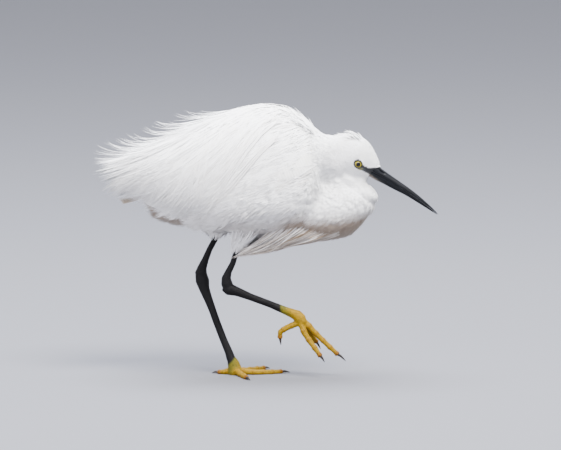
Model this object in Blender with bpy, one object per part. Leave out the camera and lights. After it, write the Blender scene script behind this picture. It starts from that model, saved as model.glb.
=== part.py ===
"""A little egret at life size, walking: one foot on the ground, the other lifted, the neck folded.

The bird faces +X, its left side is +Y and +Z is up. The origin is under the middle of the
standing foot. Sizes are in millimetres and become metres where a mesh is made.
"""

import bisect
import math
import random

import bmesh
import bpy
from mathutils import Vector

MM = 0.001
GAP = 0.3
SEED = 7

# Feather envelope of the trunk: place along the body, height where it is widest, reach above
# that, reach below that, half width.
CLOAK = (
    (-152, 216, 13, 20, 9),
    (-120, 220, 18, 30, 21),
    (-95, 221, 27, 42, 33),
    (-70, 220, 40, 54, 44),
    (-40, 216, 59, 58, 53),
    (0, 210, 81, 62, 60),
    (40, 207, 91, 66, 62),
    (70, 207, 85, 66, 59),
    (88, 209, 70, 66, 51),
    (95, 212, 58, 60, 41),
    (99, 214, 40, 48, 26),
)
# Belly line: place along the body, height, how far the lower flank lies inside the envelope.
BELLY = (
    (-101, 205, 24),
    (-92, 186, 20),
    (-80, 174, 15),
    (-60, 168, 9),
    (-40, 164, 4),
    (0, 156, 0),
    (40, 150, 0),
    (70, 149, 0),
    (88, 151, 0),
    (99, 166, 0),
)
# How far the back lies inside the envelope, which leaves room for wings and plumes.
BACK_DEPTH = ((-101, 22), (-80, 14), (-55, 9), (-40, 8), (60, 8), (84, 4), (95, 1), (99, 0))
# Lower edge of the folded wing, which the flank rises to meet.
WING_EDGE = ((-108, 191), (-83, 187), (-66, 179), (-42, 178), (0, 194), (45, 212), (88, 229))
TORSO_BACK, TORSO_FRONT = -101, 98.5
TORSO_RINGS, TORSO_SIDES = 15, 26

# Folded wing: its front and rear end, its upper edge as an angle from the top of the back, and
# how deep in the envelope the outside of its bare plate lies.
WING_FRONT, WING_BACK = 90, -76
WING_TOP_ANGLE = 26
WING_PLATE_DEPTH = 4.2
WING_RINGS, WING_COLUMNS = 9, 5
# Tiers of wing feathers, rear first: count, where the roots are, where the tips are at the upper
# and at the lower edge, and how deep in the envelope the tips lie.
WING_TIERS = (
    (5, -10, -72, -94, 2.9),
    (5, 30, -32, -48, 2.0),
    (4, 66, 10, 0, 1.5),
)
VANE_THICK = 0.7
VANE_OVERLAP = 1.25
VANE_INSET = 7
# Outline of a vane and of a plume: share of the length, share of the width.
VANE_SHAPE = ((0, 0.55), (0.4, 1.0), (0.82, 0.86), (1.0, 0.25))
PLUME_SHAPE = ((0, 0.55), (0.16, 0.85), (0.42, 1.0), (0.7, 0.72), (0.9, 0.38), (1.0, 0.12))

# Plumes of the back: how many on each side, the plate they grow from and where their tips end,
# from the rear round to the lower edge: share, place along the body, angle from the top.
BACK_PLUMES_A_SIDE = 11
SADDLE_FRONT, SADDLE_BACK, SADDLE_ANGLE = 66, -82, 23.5
PLUME_HEM = ((0, -147, 12), (0.3, -144, 58), (0.52, -132, 96), (0.75, -96, 119), (1.0, -48, 124))
PLUME_DEPTHS = (-2.9, -3.7, -4.5)
PLUME_WIDTH, PLUME_THICK = 10.5, 0.7
# Single curled plumes over the rump: where the tip ends and how far it lifts off.
CURLED_PLUMES = ((-155, 4, 9), (-149, 9, 22), (-132, 6, 30), (-84, 7, 27))
CURLED_WIDTH = 2.6

# Tail: feathers side by side, roots and tips
TAIL_FEATHERS = 8
TAIL_ROOT, TAIL_TIP = Vector((-92, 0, 200.5)), Vector((-124, 0, 195.5))
TAIL_ROOT_STEP, TAIL_TIP_STEP, TAIL_DROP = 2.3, 4.1, 0.95
TAIL_WIDTH = 8.5

# Head: its own axis points down the bill, and the eye is at its zero.
EYE = Vector((138.6, 0, 235.6))
HEAD_PITCH = math.radians(-36)
HEAD = (
    # place on the axis, middle height, reach above, reach below, half width
    (-36, 2, 8, 9, 7),
    (-33.5, 3, 14.5, 15, 12),
    (-26, 3.3, 20.8, 21, 16),
    (-16, 2.6, 23.4, 23, 17.6),
    (-8, 2.2, 24, 22.5, 17.6),
    (0, 1.6, 23.1, 20.5, 16.6),
    (7, 2.2, 19.3, 18.5, 14.4),
    (13, 3, 15.4, 14.8, 11.6),
    (18.5, 3.6, 11.6, 10.4, 8.4),
    (23, 4.6, 6.8, 7, 5.2),
    (25, 5.6, 4.2, 4, 3),
)
HEAD_RINGS, HEAD_SIDES = 12, 20
EYE_RADIUS = 6.0
EYE_OUT = 11.2
LID_RADIUS, LID_THICK = 4.25, 0.75
BILL = (
    # place on the head's axis, ridge, mouth, lower edge, half width
    (15, 11.2, 1.2, -6.0, 8.6),
    (19, 10.6, 2.0, -5.2, 8.1),
    (26, 9.9, 2.9, -4.5, 6.3),
    (36, 9.9, 4.0, -2.8, 5.1),
    (50, 10.1, 5.0, -0.8, 4.0),
    (63, 10.2, 5.7, 1.3, 3.1),
    (77, 9.6, 6.0, 2.5, 2.4),
    (92, 8.0, 5.8, 3.5, 1.6),
    (101, 6.5, 5.3, 4.2, 0.9),
    (105, 5.4, 5.0, 4.7, 0.35),
)
BILL_RINGS = 12
# Line of the gape from the bill back to below the eye, and a nostril: place and height on the
# head's axis, reach to the side, half width. For the gape the reach counts from the flank.
GAPE = ((15, 0.2, 0, 0.5), (8, -3.4, 0, 0.6), (3, -5.2, 0, 0.55), (-2, -6.2, 0, 0.3))
NOSTRIL = ((18.4, 5.0, 7.9, 0.35), (22, 5.6, 6.9, 0.8), (25.5, 6.1, 6.0, 0.3))

NECK_RINGS, NECK_SIDES = 10, 20
# Folded neck: place along the body, middle height, reach above and below, half width.
NECK_UPPER = (
    (78, 242, 36, 26, 38),
    (86, 243, 36.5, 27, 38),
    (92, 243, 33.5, 27, 36),
    (100, 243, 27, 27, 32),
    (108, 242, 26, 27.5, 28),
    (117, 242.5, 25.7, 27, 22),
    (124, 243, 24, 25, 17),
    (128, 243, 18, 19, 12),
)
BREAST = (
    (72, 184, 29, 31, 44),
    (88, 183, 32, 33.5, 45),
    (104, 183, 33, 34, 42),
    (120, 184, 31.5, 32, 37),
    (134, 188, 27.3, 27, 31),
    (146, 192.5, 20.7, 19.5, 23.5),
    (154, 195.5, 13, 11.5, 15.5),
    (159, 196.5, 5, 4.5, 6),
)
# Plumes of the breast: how many, how far to the sides, and the hem they run down to under the
# belly: place along the body, height.
BREAST_PLUMES = 12
BREAST_PLUME_SPREAD = 35
BREAST_HEM = ((-6, 132), (8.8, 136), (20, 138), (36, 139.6), (50, 142.8), (64, 146.6), (88, 149.8), (130, 160))
BREAST_PLUME_WIDTH = 8.5
# The lifted thigh, which the breast plumes pass on both sides
THIGH_GAP = (-33, -10)
THIGH_GAP_TIP = 18

# Short feathers of the nape
CREST_FEATHERS = 5

# Legs: points on the middle line with the half thickness fore and aft and across.
THIGH_LEFT = (
    ((-10, 27, 184), 30, 15),
    ((-14, 26, 171), 27, 14),
    ((-17, 22.5, 161), 17, 10),
    ((-17, 19, 155), 8, 6.5),
    ((-17, 18, 151.6), 4.4, 4.2),
)
THIGH_RIGHT = (
    ((24, -28, 180), 21, 14),
    ((18, -27, 166), 17.5, 12.5),
    ((12, -25, 154), 11, 9),
    ((7, -22, 145), 6.4, 5.8),
    ((5.2, -21.2, 140.6), 4.0, 3.9),
)
SHANK_LEFT = (
    ((-17.2, 18, 151.3), 3.1, 2.9),
    ((-24.8, 16, 137.5), 3.1, 2.8),
    ((-29.4, 14.5, 126.5), 3.7, 3.1),
    ((-33, 13.2, 117.5), 5.0, 4.0),
    ((-34.4, 12.4, 111.5), 6.6, 5.0),
    ((-34, 12, 106.5), 5.6, 4.4),
    ((-33.8, 12, 104.4), 3.0, 2.6),
)
SHANK_RIGHT = (
    ((5.1, -21.1, 140.3), 2.9, 2.8),
    ((0.9, -20.5, 126.5), 3.1, 2.8),
    ((-3.6, -20, 117.7), 3.5, 3.1),
    ((-6.2, -19.6, 110.5), 5.0, 4.1),
    ((-5.6, -19.3, 104), 6.3, 4.9),
    ((-4.2, -19, 99), 5.4, 4.4),
    ((-3.6, -19, 97), 3.0, 2.6),
)
TARSUS_LEFT = (
    ((-34.2, 12.2, 110), 6.6, 4.6),
    ((-32.8, 11.6, 103), 7.5, 5.2),
    ((-30.6, 10.3, 94), 5.7, 4.3),
    ((-26.6, 9, 83.6), 4.7, 3.5),
    ((-21.9, 7.3, 71.5), 4.1, 3.1),
    ((-17.2, 5.6, 58.3), 4.0, 3.0),
    ((-9.5, 2.9, 38.5), 4.0, 3.1),
    ((-3.8, 1, 25.3), 4.3, 3.5),
    ((-1.2, 0.2, 17.6), 4.9, 4.2),
)
TARSUS_RIGHT = (
    ((-9, -19.2, 100.5), 4.6, 3.8),
    ((-3.6, -19, 98), 6.8, 5.2),
    ((6, -18.6, 95), 5.0, 4.2),
    ((19.8, -17.9, 89.3), 3.9, 3.3),
    ((41.8, -16.4, 80.8), 3.7, 3.1),
    ((58, -15.2, 73.8), 4.2, 3.5),
    ((66.5, -14.4, 70.2), 5.0, 4.2),
)
FOOT_LEFT = (
    ((-0.9, 0, 17.2), 4.9, 4.2),
    ((1.4, 0, 12.6), 6.4, 5.2),
    ((2.8, 0, 7.5), 7.2, 6.4),
    ((2.7, 0, 3), 7.0, 6.8),
    ((2.7, 0, 0), 6.2, 6.2),
)
FOOT_RIGHT = (
    ((66.9, -14.3, 70), 5.0, 4.2),
    ((71.5, -14, 68), 6.1, 5.2),
    ((75.2, -14, 64.4), 6.3, 5.8),
    ((76.4, -14, 60.5), 5.6, 5.4),
    ((76.6, -14, 57.8), 3.6, 3.4),
)
# Toes: points from the ball of the foot to the root of the claw, then the claw's tip.
TOES_LEFT = {
    "middle": ((4, 0, 6), (16.5, 0, 2.8), (29, 0.5, 2.4), (42, 4, 2.1), (54.5, 9, 1.9), (63.5, 13, 0.6)),
    "inner": ((4, -2, 5), (9, -13, 2.6), (13, -25, 2.2), (16, -35, 1.9), (20, -44, 0.6)),
    "outer": ((4, 2, 5), (12, 11, 2.7), (20, 20, 2.3), (28, 28, 2.1), (35, 35, 1.9), (41.5, 41.5, 0.6)),
    "hind": ((0, 1, 5), (-8, 3, 2.6), (-15, 5, 1.9), (-22.5, 7, 0.6)),
}
TOES_RIGHT = {
    "middle": ((76, -13, 65), (85, -13, 55.5), (95, -13.3, 45), (105.5, -13.6, 34.8), (116, -14, 25), (125, -14.4, 17.4)),
    "inner": ((75, -11, 61), (82, -8, 52), (88, -6, 44), (93, -4.5, 37), (97.5, -3.5, 29)),
    "outer": ((75, -15.5, 60), (80, -18, 48.5), (86, -20, 39.5), (92, -22, 31.5), (97, -23.5, 24.5), (101.8, -25, 17.6)),
    "hind": ((71, -14, 59), (60, -13, 54), (53, -12.4, 49.6), (52.8, -12, 42.8), (53.8, -11.6, 34.8)),
}
TOE_ROOT, TOE_TIP = 3.5, 2.35
CLAW_ROOT, CLAW_TIP = 1.9, 0.3
TOE_SIDES, LEG_SIDES = 8, 10

# Plain colours of the materials
WHITE, SHADE, BLACK, YELLOW = "F2F2F0", "DAD6CF", "17161A", "C9A827"
PALE_EYE, CLAW = "D8CF6A", "2A211D"


def colour(hex_code):
    """Linear colour of an sRGB hex code."""
    parts = [int(hex_code[i : i + 2], 16) / 255 for i in (0, 2, 4)]
    return [p / 12.92 if p <= 0.04045 else ((p + 0.055) / 1.055) ** 2.4 for p in parts] + [1.0]


def material(name, hex_code, roughness):
    made = bpy.data.materials.new(name)
    made.use_nodes = True
    shader = made.node_tree.nodes["Principled BSDF"]
    shader.inputs["Base Color"].default_value = colour(hex_code)
    shader.inputs["Roughness"].default_value = roughness
    made.diffuse_color = colour(hex_code)
    return made


def between(a, b, share):
    return a + (b - a) * share


def ease(share):
    """0 to 1 with a soft start and end."""
    share = min(max(share, 0.0), 1.0)
    return share * share * (3 - 2 * share)


def row_at(table, place):
    """The columns of a table at a place, on smooth curves through its rows."""
    places = [row[0] for row in table]
    place = min(max(place, places[0]), places[-1])
    i = min(bisect.bisect_right(places, place) - 1, len(places) - 2)
    span = places[i + 1] - places[i]
    t = (place - places[i]) / span

    def slope(k, column):
        low, high = max(k - 1, 0), min(k + 1, len(table) - 1)
        return (table[high][column] - table[low][column]) / (places[high] - places[low])

    values = []
    for column in range(1, len(table[0])):
        start, end = table[i][column], table[i + 1][column]
        rise, fall = slope(i, column) * span, slope(i + 1, column) * span
        values.append(
            start * (2 * t**3 - 3 * t**2 + 1)
            + rise * (t**3 - 2 * t**2 + t)
            + end * (3 * t**2 - 2 * t**3)
            + fall * (t**3 - t**2)
        )
    return values


def mesh_object(name, points, faces):
    """An object of these points, given in millimetres, and faces, with its faces turned outwards."""
    mesh = bpy.data.meshes.new(name)
    mesh.from_pydata([Vector(p) * MM for p in points], [], faces)
    made = bmesh.new()
    made.from_mesh(mesh)
    bmesh.ops.recalc_face_normals(made, faces=made.faces)
    made.to_mesh(mesh)
    made.free()
    obj = bpy.data.objects.new(name, mesh)
    bpy.context.scene.collection.objects.link(obj)
    return obj


def loft(name, rings):
    """A closed skin through rings of points, in triangles that mirror from side to side."""
    sides = len(rings[0])
    faces = []
    for r in range(len(rings) - 1):
        for k in range(sides):
            a, b = r * sides + k, r * sides + (k + 1) % sides
            if k < sides // 2:
                faces += [(a, b, b + sides), (a, b + sides, a + sides)]
            else:
                faces += [(a, b, a + sides), (b, b + sides, a + sides)]
    faces.append(tuple(range(sides))[::-1])
    faces.append(tuple(range((len(rings) - 1) * sides, len(rings) * sides)))
    return mesh_object(name, [p for ring in rings for p in ring], faces)


def oval(middle, across, up, half_width, above, below, sides):
    """A ring of points: an oval whose upper and lower halves may differ."""
    ring = []
    for k in range(sides):
        turn = 2 * math.pi * k / sides
        reach = above if math.cos(turn) > 0 else below
        ring.append(middle + across * (half_width * math.sin(turn)) + up * (reach * math.cos(turn)))
    return ring


def tube(name, stations, sides, floor=None):
    """A limb through stations of (point, half thickness fore and aft, half thickness across)."""
    points = [Vector(s[0]) for s in stations]
    rings = []
    for i, (_, fore, side) in enumerate(stations):
        ahead = points[min(i + 1, len(points) - 1)] - points[max(i - 1, 0)]
        ahead.normalize()
        across = Vector((0, 1, 0))
        if abs(ahead.y) > 0.9:
            across = Vector((0, 0, 1)).cross(ahead)
        across = (across - ahead * across.dot(ahead)).normalized()
        up = across.cross(ahead).normalized()
        ring = oval(points[i], across, up, side, fore, fore, sides)
        if floor is not None:
            ring = [Vector((p.x, p.y, max(p.z, floor))) for p in ring]
        rings.append(ring)
    return loft(name, rings)


def room(obj):
    """Grows a cutter by the gap on every face, so that what it cuts stays clear of its node."""
    made = bmesh.new()
    made.from_mesh(obj.data)
    made.normal_update()
    moves = [v.normal * (GAP * MM * min(v.calc_shell_factor(), 1.8)) for v in made.verts]
    for vertex, move in zip(made.verts, moves):
        vertex.co += move
    made.to_mesh(obj.data)
    made.free()
    return obj


def baked(obj):
    """The object with its modifiers applied to its mesh."""
    graph = bpy.context.evaluated_depsgraph_get()
    mesh = bpy.data.meshes.new_from_object(obj.evaluated_get(graph))
    obj.modifiers.clear()
    old = obj.data
    obj.data = mesh
    bpy.data.meshes.remove(old)
    return obj


def keep_largest(obj):
    """Keeps the largest closed surface of the mesh and drops loose scraps and sealed hollows."""
    made = bmesh.new()
    made.from_mesh(obj.data)
    bmesh.ops.triangulate(made, faces=made.faces)
    unseen = set(made.verts)
    groups = []
    while unseen:
        group, edge = set(), [unseen.pop()]
        while edge:
            vertex = edge.pop()
            group.add(vertex)
            for link in vertex.link_edges:
                other = link.other_vert(vertex)
                if other in unseen:
                    unseen.discard(other)
                    edge.append(other)
        groups.append(group)
    groups.sort(key=len, reverse=True)
    drop = [v for group in groups[1:] for v in group]
    bmesh.ops.delete(made, geom=drop, context="VERTS")
    made.to_mesh(obj.data)
    made.free()
    return obj


def remove(objects):
    for obj in objects:
        mesh = obj.data
        bpy.data.objects.remove(obj)
        bpy.data.meshes.remove(mesh)


def combine(obj, others, operation, solver="EXACT"):
    """Joins the others to the object, or cuts them from it, and removes them."""
    if not others:
        return obj
    group = bpy.data.collections.new("pieces")
    bpy.context.scene.collection.children.link(group)
    for other in others:
        group.objects.link(other)
    step = obj.modifiers.new(operation.lower(), "BOOLEAN")
    step.operation = operation
    step.operand_type = "COLLECTION"
    step.collection = group
    step.solver = solver
    baked(obj)
    remove(others)
    bpy.data.collections.remove(group)
    return keep_largest(obj)


def finish(obj, finish_material, body, smooth=True):
    """Names the node's material, shades it and hangs it on the body's empty."""
    obj.data.materials.clear()
    obj.data.materials.append(finish_material)
    if smooth:
        obj.data.shade_smooth()
        obj.data.set_sharp_from_angle(angle=math.radians(40))
    obj.parent = body
    return obj


def feather(name, path, outward, width, thick, shape, columns=2, camber=0.0, roll=0.0):
    """A flat feather along a path, as wide at each station as its outline says."""
    acrosses, normals = frames_along(path, outward)
    widths = [width * share for _, share in shape]
    thicks = [thick] * (len(shape) - 1) + [thick * 0.6]
    return blade(name, path, acrosses, normals, widths, thicks, columns, camber, roll)


def edge_height(x):
    return row_at(WING_EDGE, x)[0]


def cloak(x, angle, depth, side):
    """A point of the feather envelope: angle in degrees from the top, depth inwards, side +1 left."""
    middle, above, below, half = row_at(CLOAK, x)
    turn = math.radians(angle)
    reach = above if angle < 90 else below
    return Vector((x, side * (half - depth) * math.sin(turn), middle + (reach - depth) * math.cos(turn)))


def edge_angle(x):
    """Angle of the wing's lower edge from the top of the back."""
    middle, above, below, _ = row_at(CLOAK, x)
    rise = edge_height(x) - middle
    return math.degrees(math.acos(max(-0.97, rise / (above if rise > 0 else below))))


def torso_ring(x):
    """One ring of the trunk: the back set in under the wings, the flank out to the envelope."""
    middle, above, _, half = row_at(CLOAK, x)
    belly, inset = row_at(BELLY, x)
    depth = row_at(BACK_DEPTH, x)[0]
    ring = []
    for k in range(TORSO_SIDES):
        turn = 2 * math.pi * k / TORSO_SIDES
        up = math.cos(turn)
        height = middle + (above * up if up > 0 else (middle - belly) * up)
        share = ease((height - edge_height(x) + 2) / 7)
        inwards = between(inset, depth, share)
        reach = above - depth if up > 0 else middle - belly
        ring.append(Vector((x, (half - inwards) * math.sin(turn), middle + reach * up)))
    return ring


def torso_shape(name):
    rings = []
    for i in range(TORSO_RINGS):
        share = math.sin(math.pi / 2 * i / (TORSO_RINGS - 1))
        rings.append(torso_ring(between(TORSO_BACK, TORSO_FRONT, share)))
    return loft(name, rings)


def upright_shape(name, table, rings, sides):
    """A closed form from a table of places along the body."""
    made = []
    for i in range(rings):
        x = between(table[0][0], table[-1][0], math.sin(math.pi / 2 * i / (rings - 1)))
        middle, above, below, half = row_at(table, x)
        made.append(oval(Vector((x, 0, middle)), Vector((0, 1, 0)), Vector((0, 0, 1)), half, above, below, sides))
    return loft(name, made)


def head_frame():
    along = Vector((math.cos(HEAD_PITCH), 0, math.sin(HEAD_PITCH)))
    up = Vector((-math.sin(HEAD_PITCH), 0, math.cos(HEAD_PITCH)))
    return along, up


def head_point(place, height, y=0.0):
    along, up = head_frame()
    return EYE + along * place + up * height + Vector((0, y, 0))


def head_shape(name):
    _, up = head_frame()
    rings = []
    for i in range(HEAD_RINGS):
        place = between(HEAD[0][0], HEAD[-1][0], i / (HEAD_RINGS - 1))
        middle, above, below, half = row_at(HEAD, place)
        rings.append(oval(head_point(place, middle), Vector((0, 1, 0)), up, half, above, below, HEAD_SIDES))
    return loft(name, rings)


def head_side(place, height):
    """How far to the side the head's flank is."""
    middle, above, below, half = row_at(HEAD, place)
    reach = above if height > middle else below
    return half * math.sqrt(max(0.04, 1 - ((height - middle) / reach) ** 2))


def groove(name, line, side):
    """A fine cutter along a line on the flank of the head, thin at both ends."""
    stations = []
    for place, height, out, size in line:
        stations.append((head_point(place, height, side * (head_side(place, height) + out)), size, size))
    return tube(name, stations, 6)


def bill_shape(name, upper):
    """Upper or lower half of the bill, flat along the mouth."""
    rings = []
    arc = 9
    for i in range(BILL_RINGS):
        share = i / (BILL_RINGS - 1)
        place = between(BILL[0][0], BILL[-1][0] - (0 if upper else 1.2), share)
        ridge, mouth, lower, half = row_at(BILL, place)
        mouth += GAP / 2 if upper else -GAP / 2
        reach = ridge - mouth if upper else lower - mouth
        half *= 1.0 if upper else 0.94
        ring = []
        for k in range(arc):
            turn = math.pi * k / (arc - 1)
            bulge = math.sin(turn) ** (0.85 if upper else 1.0)
            ring.append(head_point(place, mouth + reach * bulge, half * math.cos(turn)))
        rings.append(ring)
    return loft(name, rings)


def ball(name, middle, radius, rings=8, sides=16):
    made = []
    for i in range(1, rings):
        turn = math.pi * i / rings
        y = -radius * math.cos(turn)
        size = radius * math.sin(turn)
        made.append(
            oval(Vector(middle) + Vector((0, y, 0)), Vector((1, 0, 0)), Vector((0, 0, 1)), size, size, size, sides)
        )
    return loft(name, made)


def hoop(name, middle, radius, thick, sides=14, around=5):
    """A ring that stands square to Y, such as the rim of an eyelid."""
    points, faces = [], []
    for i in range(sides):
        turn = 2 * math.pi * i / sides
        out = Vector((math.cos(turn), 0, math.sin(turn)))
        for k in range(around):
            bend = 2 * math.pi * k / around
            points.append(Vector(middle) + out * (radius + thick * math.cos(bend)) + Vector((0, thick * math.sin(bend), 0)))
    for i in range(sides):
        for k in range(around):
            j, m = (i + 1) % sides, (k + 1) % around
            faces.append((i * around + k, j * around + k, j * around + m, i * around + m))
    return mesh_object(name, points, faces)


def blade(name, middles, acrosses, normals, widths, thicks, columns=3, camber=0.0, roll=0.0):
    """A flat feather: stations along its middle line, each as wide as given, split alike on both faces."""
    points, faces = [], []
    spots = [2 * c / (columns - 1) - 1 for c in range(columns)]
    for middle, across, normal, width, thick in zip(middles, acrosses, normals, widths, thicks):
        for face in (0.5, -0.5):
            for spot in spots:
                rise = camber * (1 - spot * spot) + roll * spot * width / max(widths)
                points.append(middle + across * (spot * width / 2) + normal * (rise + face * thick))
    row = 2 * columns
    for i in range(len(middles) - 1):
        a, b = i * row, (i + 1) * row
        for c in range(columns - 1):
            faces.append((a + c, a + c + 1, b + c + 1))
            faces.append((a + c, b + c + 1, b + c))
            low_a, low_b = a + columns + c, b + columns + c
            faces.append((low_a, low_b + 1, low_a + 1))
            faces.append((low_a, low_b, low_b + 1))
        for c in (0, columns - 1):
            faces.append((a + c, b + c, b + columns + c))
            faces.append((a + c, b + columns + c, a + columns + c))
    for start in (0, (len(middles) - 1) * row):
        for c in range(columns - 1):
            faces.append((start + c, start + c + 1, start + columns + c + 1, start + columns + c))
    return mesh_object(name, points, faces)


def frames_along(middles, outward):
    """Across and normal directions at each point of a path, the normal kept to the outward side."""
    acrosses, normals = [], []
    for i, middle in enumerate(middles):
        ahead = middles[min(i + 1, len(middles) - 1)] - middles[max(i - 1, 0)]
        ahead.normalize()
        out = outward[i] - ahead * outward[i].dot(ahead)
        out.normalize()
        normals.append(out)
        acrosses.append(out.cross(ahead))
    return acrosses, normals


def cloak_out(x, angle, side):
    """Outward direction of the envelope at a point."""
    here = cloak(x, angle, 0, side)
    back = cloak(x - 1, angle, 0, side) - here
    turn = cloak(x, angle + 1, 0, side) - here
    out = back.cross(turn) * side
    return out.normalized() if out.length else Vector((0, 0, 1))


def plate_depth(x):
    """How deep the outside of the wing's plate lies: the shoulder comes nearer to the surface."""
    return between(WING_PLATE_DEPTH, 0.9, ease((x - 46) / 34))


def wing_shape(name, side):
    """The wing's plate, which fills the room between the back and the feathers."""
    rings = []
    for i in range(WING_RINGS):
        x = between(WING_FRONT, WING_BACK, i / (WING_RINGS - 1))
        inner_depth = row_at(BACK_DEPTH, x)[0] - 0.4
        angles = [
            between(WING_TOP_ANGLE, edge_angle(x) - 2, j / (WING_COLUMNS - 1)) for j in range(WING_COLUMNS)
        ]
        outer = [cloak(x, angle, plate_depth(x), side) for angle in angles]
        inner = [cloak(x, angle, inner_depth, side) for angle in angles]
        rings.append(outer + inner[::-1])
    return loft(name, rings)


def wing_vanes(side, draw):
    """The folded wing's feathers in tiers, each one shingled over the one below it."""
    made = []
    for count, root, tip_high, tip_low, tip_depth in WING_TIERS:
        for k in range(count):
            share = (k + 0.5) / count
            tip = between(tip_high, tip_low, share) + draw.uniform(-3, 3)
            start = root + draw.uniform(-2, 2)
            path, outward = [], []
            for along, _ in VANE_SHAPE:
                x = between(start, tip, along)
                angle = between(WING_TOP_ANGLE + VANE_INSET, edge_angle(x) - 2, share)
                depth = between(plate_depth(start) + 0.8, tip_depth, along**0.8)
                path.append(cloak(x, angle, depth, side))
                outward.append(cloak_out(x, angle, side))
            middle = between(start, tip, 0.5)
            high, low = (cloak(middle, a, 0, side) for a in (WING_TOP_ANGLE, edge_angle(middle)))
            reach = (high - low).length * 1.12 / count
            made.append(
                feather("vane", path, outward, reach * VANE_OVERLAP, VANE_THICK, VANE_SHAPE, 2, 0.0, 0.85 * side)
            )
    return made


def saddle_shape(name):
    """The plate along the top of the back that the plumes grow from."""
    rings = []
    columns = 5
    for i in range(8):
        x = between(SADDLE_FRONT, SADDLE_BACK, i / 7)
        inset = row_at(BACK_DEPTH, x)[0] - 0.4
        angles = [between(-SADDLE_ANGLE, SADDLE_ANGLE, j / (columns - 1)) for j in range(columns)]
        outer = [cloak(x, abs(a), -0.8, 1 if a > 0 else -1) for a in angles]
        inner = [cloak(x, abs(a), min(inset, 5.5), 1 if a > 0 else -1) for a in angles]
        rings.append(outer + inner[::-1])
    return loft(name, rings)


def back_plume(side, start, root_angle, tip, tip_angle, depth, width, lift):
    """One long plume over the back, its root sunk in the saddle and its tip bent off by the lift."""
    path, outward = [], []
    for along, _ in PLUME_SHAPE:
        x = between(start, tip, along)
        angle = between(root_angle, tip_angle, along**1.3)
        sunk = between(1.0, depth, ease(along / 0.14))
        rise = lift * max(0.0, (along - 0.55) / 0.45) ** 2.2
        path.append(cloak(x, angle, sunk - rise, side))
        outward.append(cloak_out(x, angle, side))
    return feather("plume", path, outward, width, PLUME_THICK, PLUME_SHAPE)


def back_plumes(draw):
    made = []
    for side in (1, -1):
        for k in range(BACK_PLUMES_A_SIDE):
            share = (k + 0.5) / BACK_PLUMES_A_SIDE
            tip, tip_angle = row_at(PLUME_HEM, share)
            start = between(-8, 40, share) + draw.uniform(-8, 8)
            made.append(
                back_plume(
                    side,
                    start,
                    between(3, 19, share) + draw.uniform(-1.5, 1.5),
                    tip + draw.uniform(-5, 8),
                    tip_angle + draw.uniform(-4, 3),
                    PLUME_DEPTHS[k % len(PLUME_DEPTHS)],
                    PLUME_WIDTH * draw.uniform(0.85, 1.15),
                    draw.uniform(0.5, 3),
                )
            )
    for k, (tip, tip_angle, lift) in enumerate(CURLED_PLUMES):
        side = 1 if k % 2 else -1
        made.append(back_plume(side, tip * 0.5 + 30, 6 + 2 * k, tip, tip_angle, -4.6, CURLED_WIDTH, lift))
    return made


def tail_feathers():
    made = []
    for k in range(TAIL_FEATHERS):
        out = k - (TAIL_FEATHERS - 1) / 2
        drop = Vector((0, 0, -TAIL_DROP * abs(out)))
        root = TAIL_ROOT + Vector((0, out * TAIL_ROOT_STEP, 0)) + drop * 0.4
        tip = TAIL_TIP + Vector((abs(out) * 1.2, out * TAIL_TIP_STEP, 0)) + drop
        path = [root.lerp(tip, along) for along, _ in VANE_SHAPE]
        made.append(feather("rectrix", path, [Vector((0, 0, 1))] * len(path), TAIL_WIDTH, 0.6, VANE_SHAPE))
    return made


def breast_plumes(draw):
    """Plumes from the lower breast, back under the belly and past the lifted thigh."""
    made = []
    for k in range(BREAST_PLUMES):
        y = between(-BREAST_PLUME_SPREAD, BREAST_PLUME_SPREAD, (k + 0.5) / BREAST_PLUMES)
        start = 122 - 0.6 * abs(y) + draw.uniform(-6, 6)
        tip = draw.uniform(-4, 20)
        if THIGH_GAP[0] < y < THIGH_GAP[1]:
            tip = THIGH_GAP_TIP + draw.uniform(0, 12)
        lift = 1.2 * (k % 3)
        path = []
        for along, _ in PLUME_SHAPE:
            x = between(start, tip, along)
            spread = y * between(1.0, 1.06, along)
            height = row_at(BREAST_HEM, x)[0] + 0.4 + lift * (1 - along)
            height += 10 * (spread / 36) ** 2 * ease((x - 10) / 80)
            middle, _, below, half = row_at(BREAST, max(x, BREAST[0][0]))
            surface = middle - below * math.sqrt(max(0.05, 1 - (spread / half) ** 2))
            height = between(surface + 2.2, height, ease(along / 0.16))
            path.append(Vector((x, spread, height)))
        width = BREAST_PLUME_WIDTH * draw.uniform(0.85, 1.15)
        made.append(feather("plume", path, [Vector((0, 0.3 * y / 36, -1))] * len(path), width, 0.7, PLUME_SHAPE))
    return made


def crest(draw):
    """Short feathers that lift a little off the nape."""
    made = []
    for k in range(CREST_FEATHERS):
        y = between(-7, 7, k / (CREST_FEATHERS - 1))
        root = head_point(-14, 22.5, y * 0.7)
        top = head_point(-21, 25.4 - 0.05 * y * y, y * 0.9)
        tip = Vector((120 + draw.uniform(-2, 2), y, 271.2 - 0.05 * y * y + draw.uniform(-0.5, 0.5)))
        shape = ((0, 0.6), (0.5, 1.0), (1.0, 0.2))
        made.append(feather("crest", [root, top, tip], [Vector((0, 0, 1))] * 3, 4.2, 0.8, shape))
    return made


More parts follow.
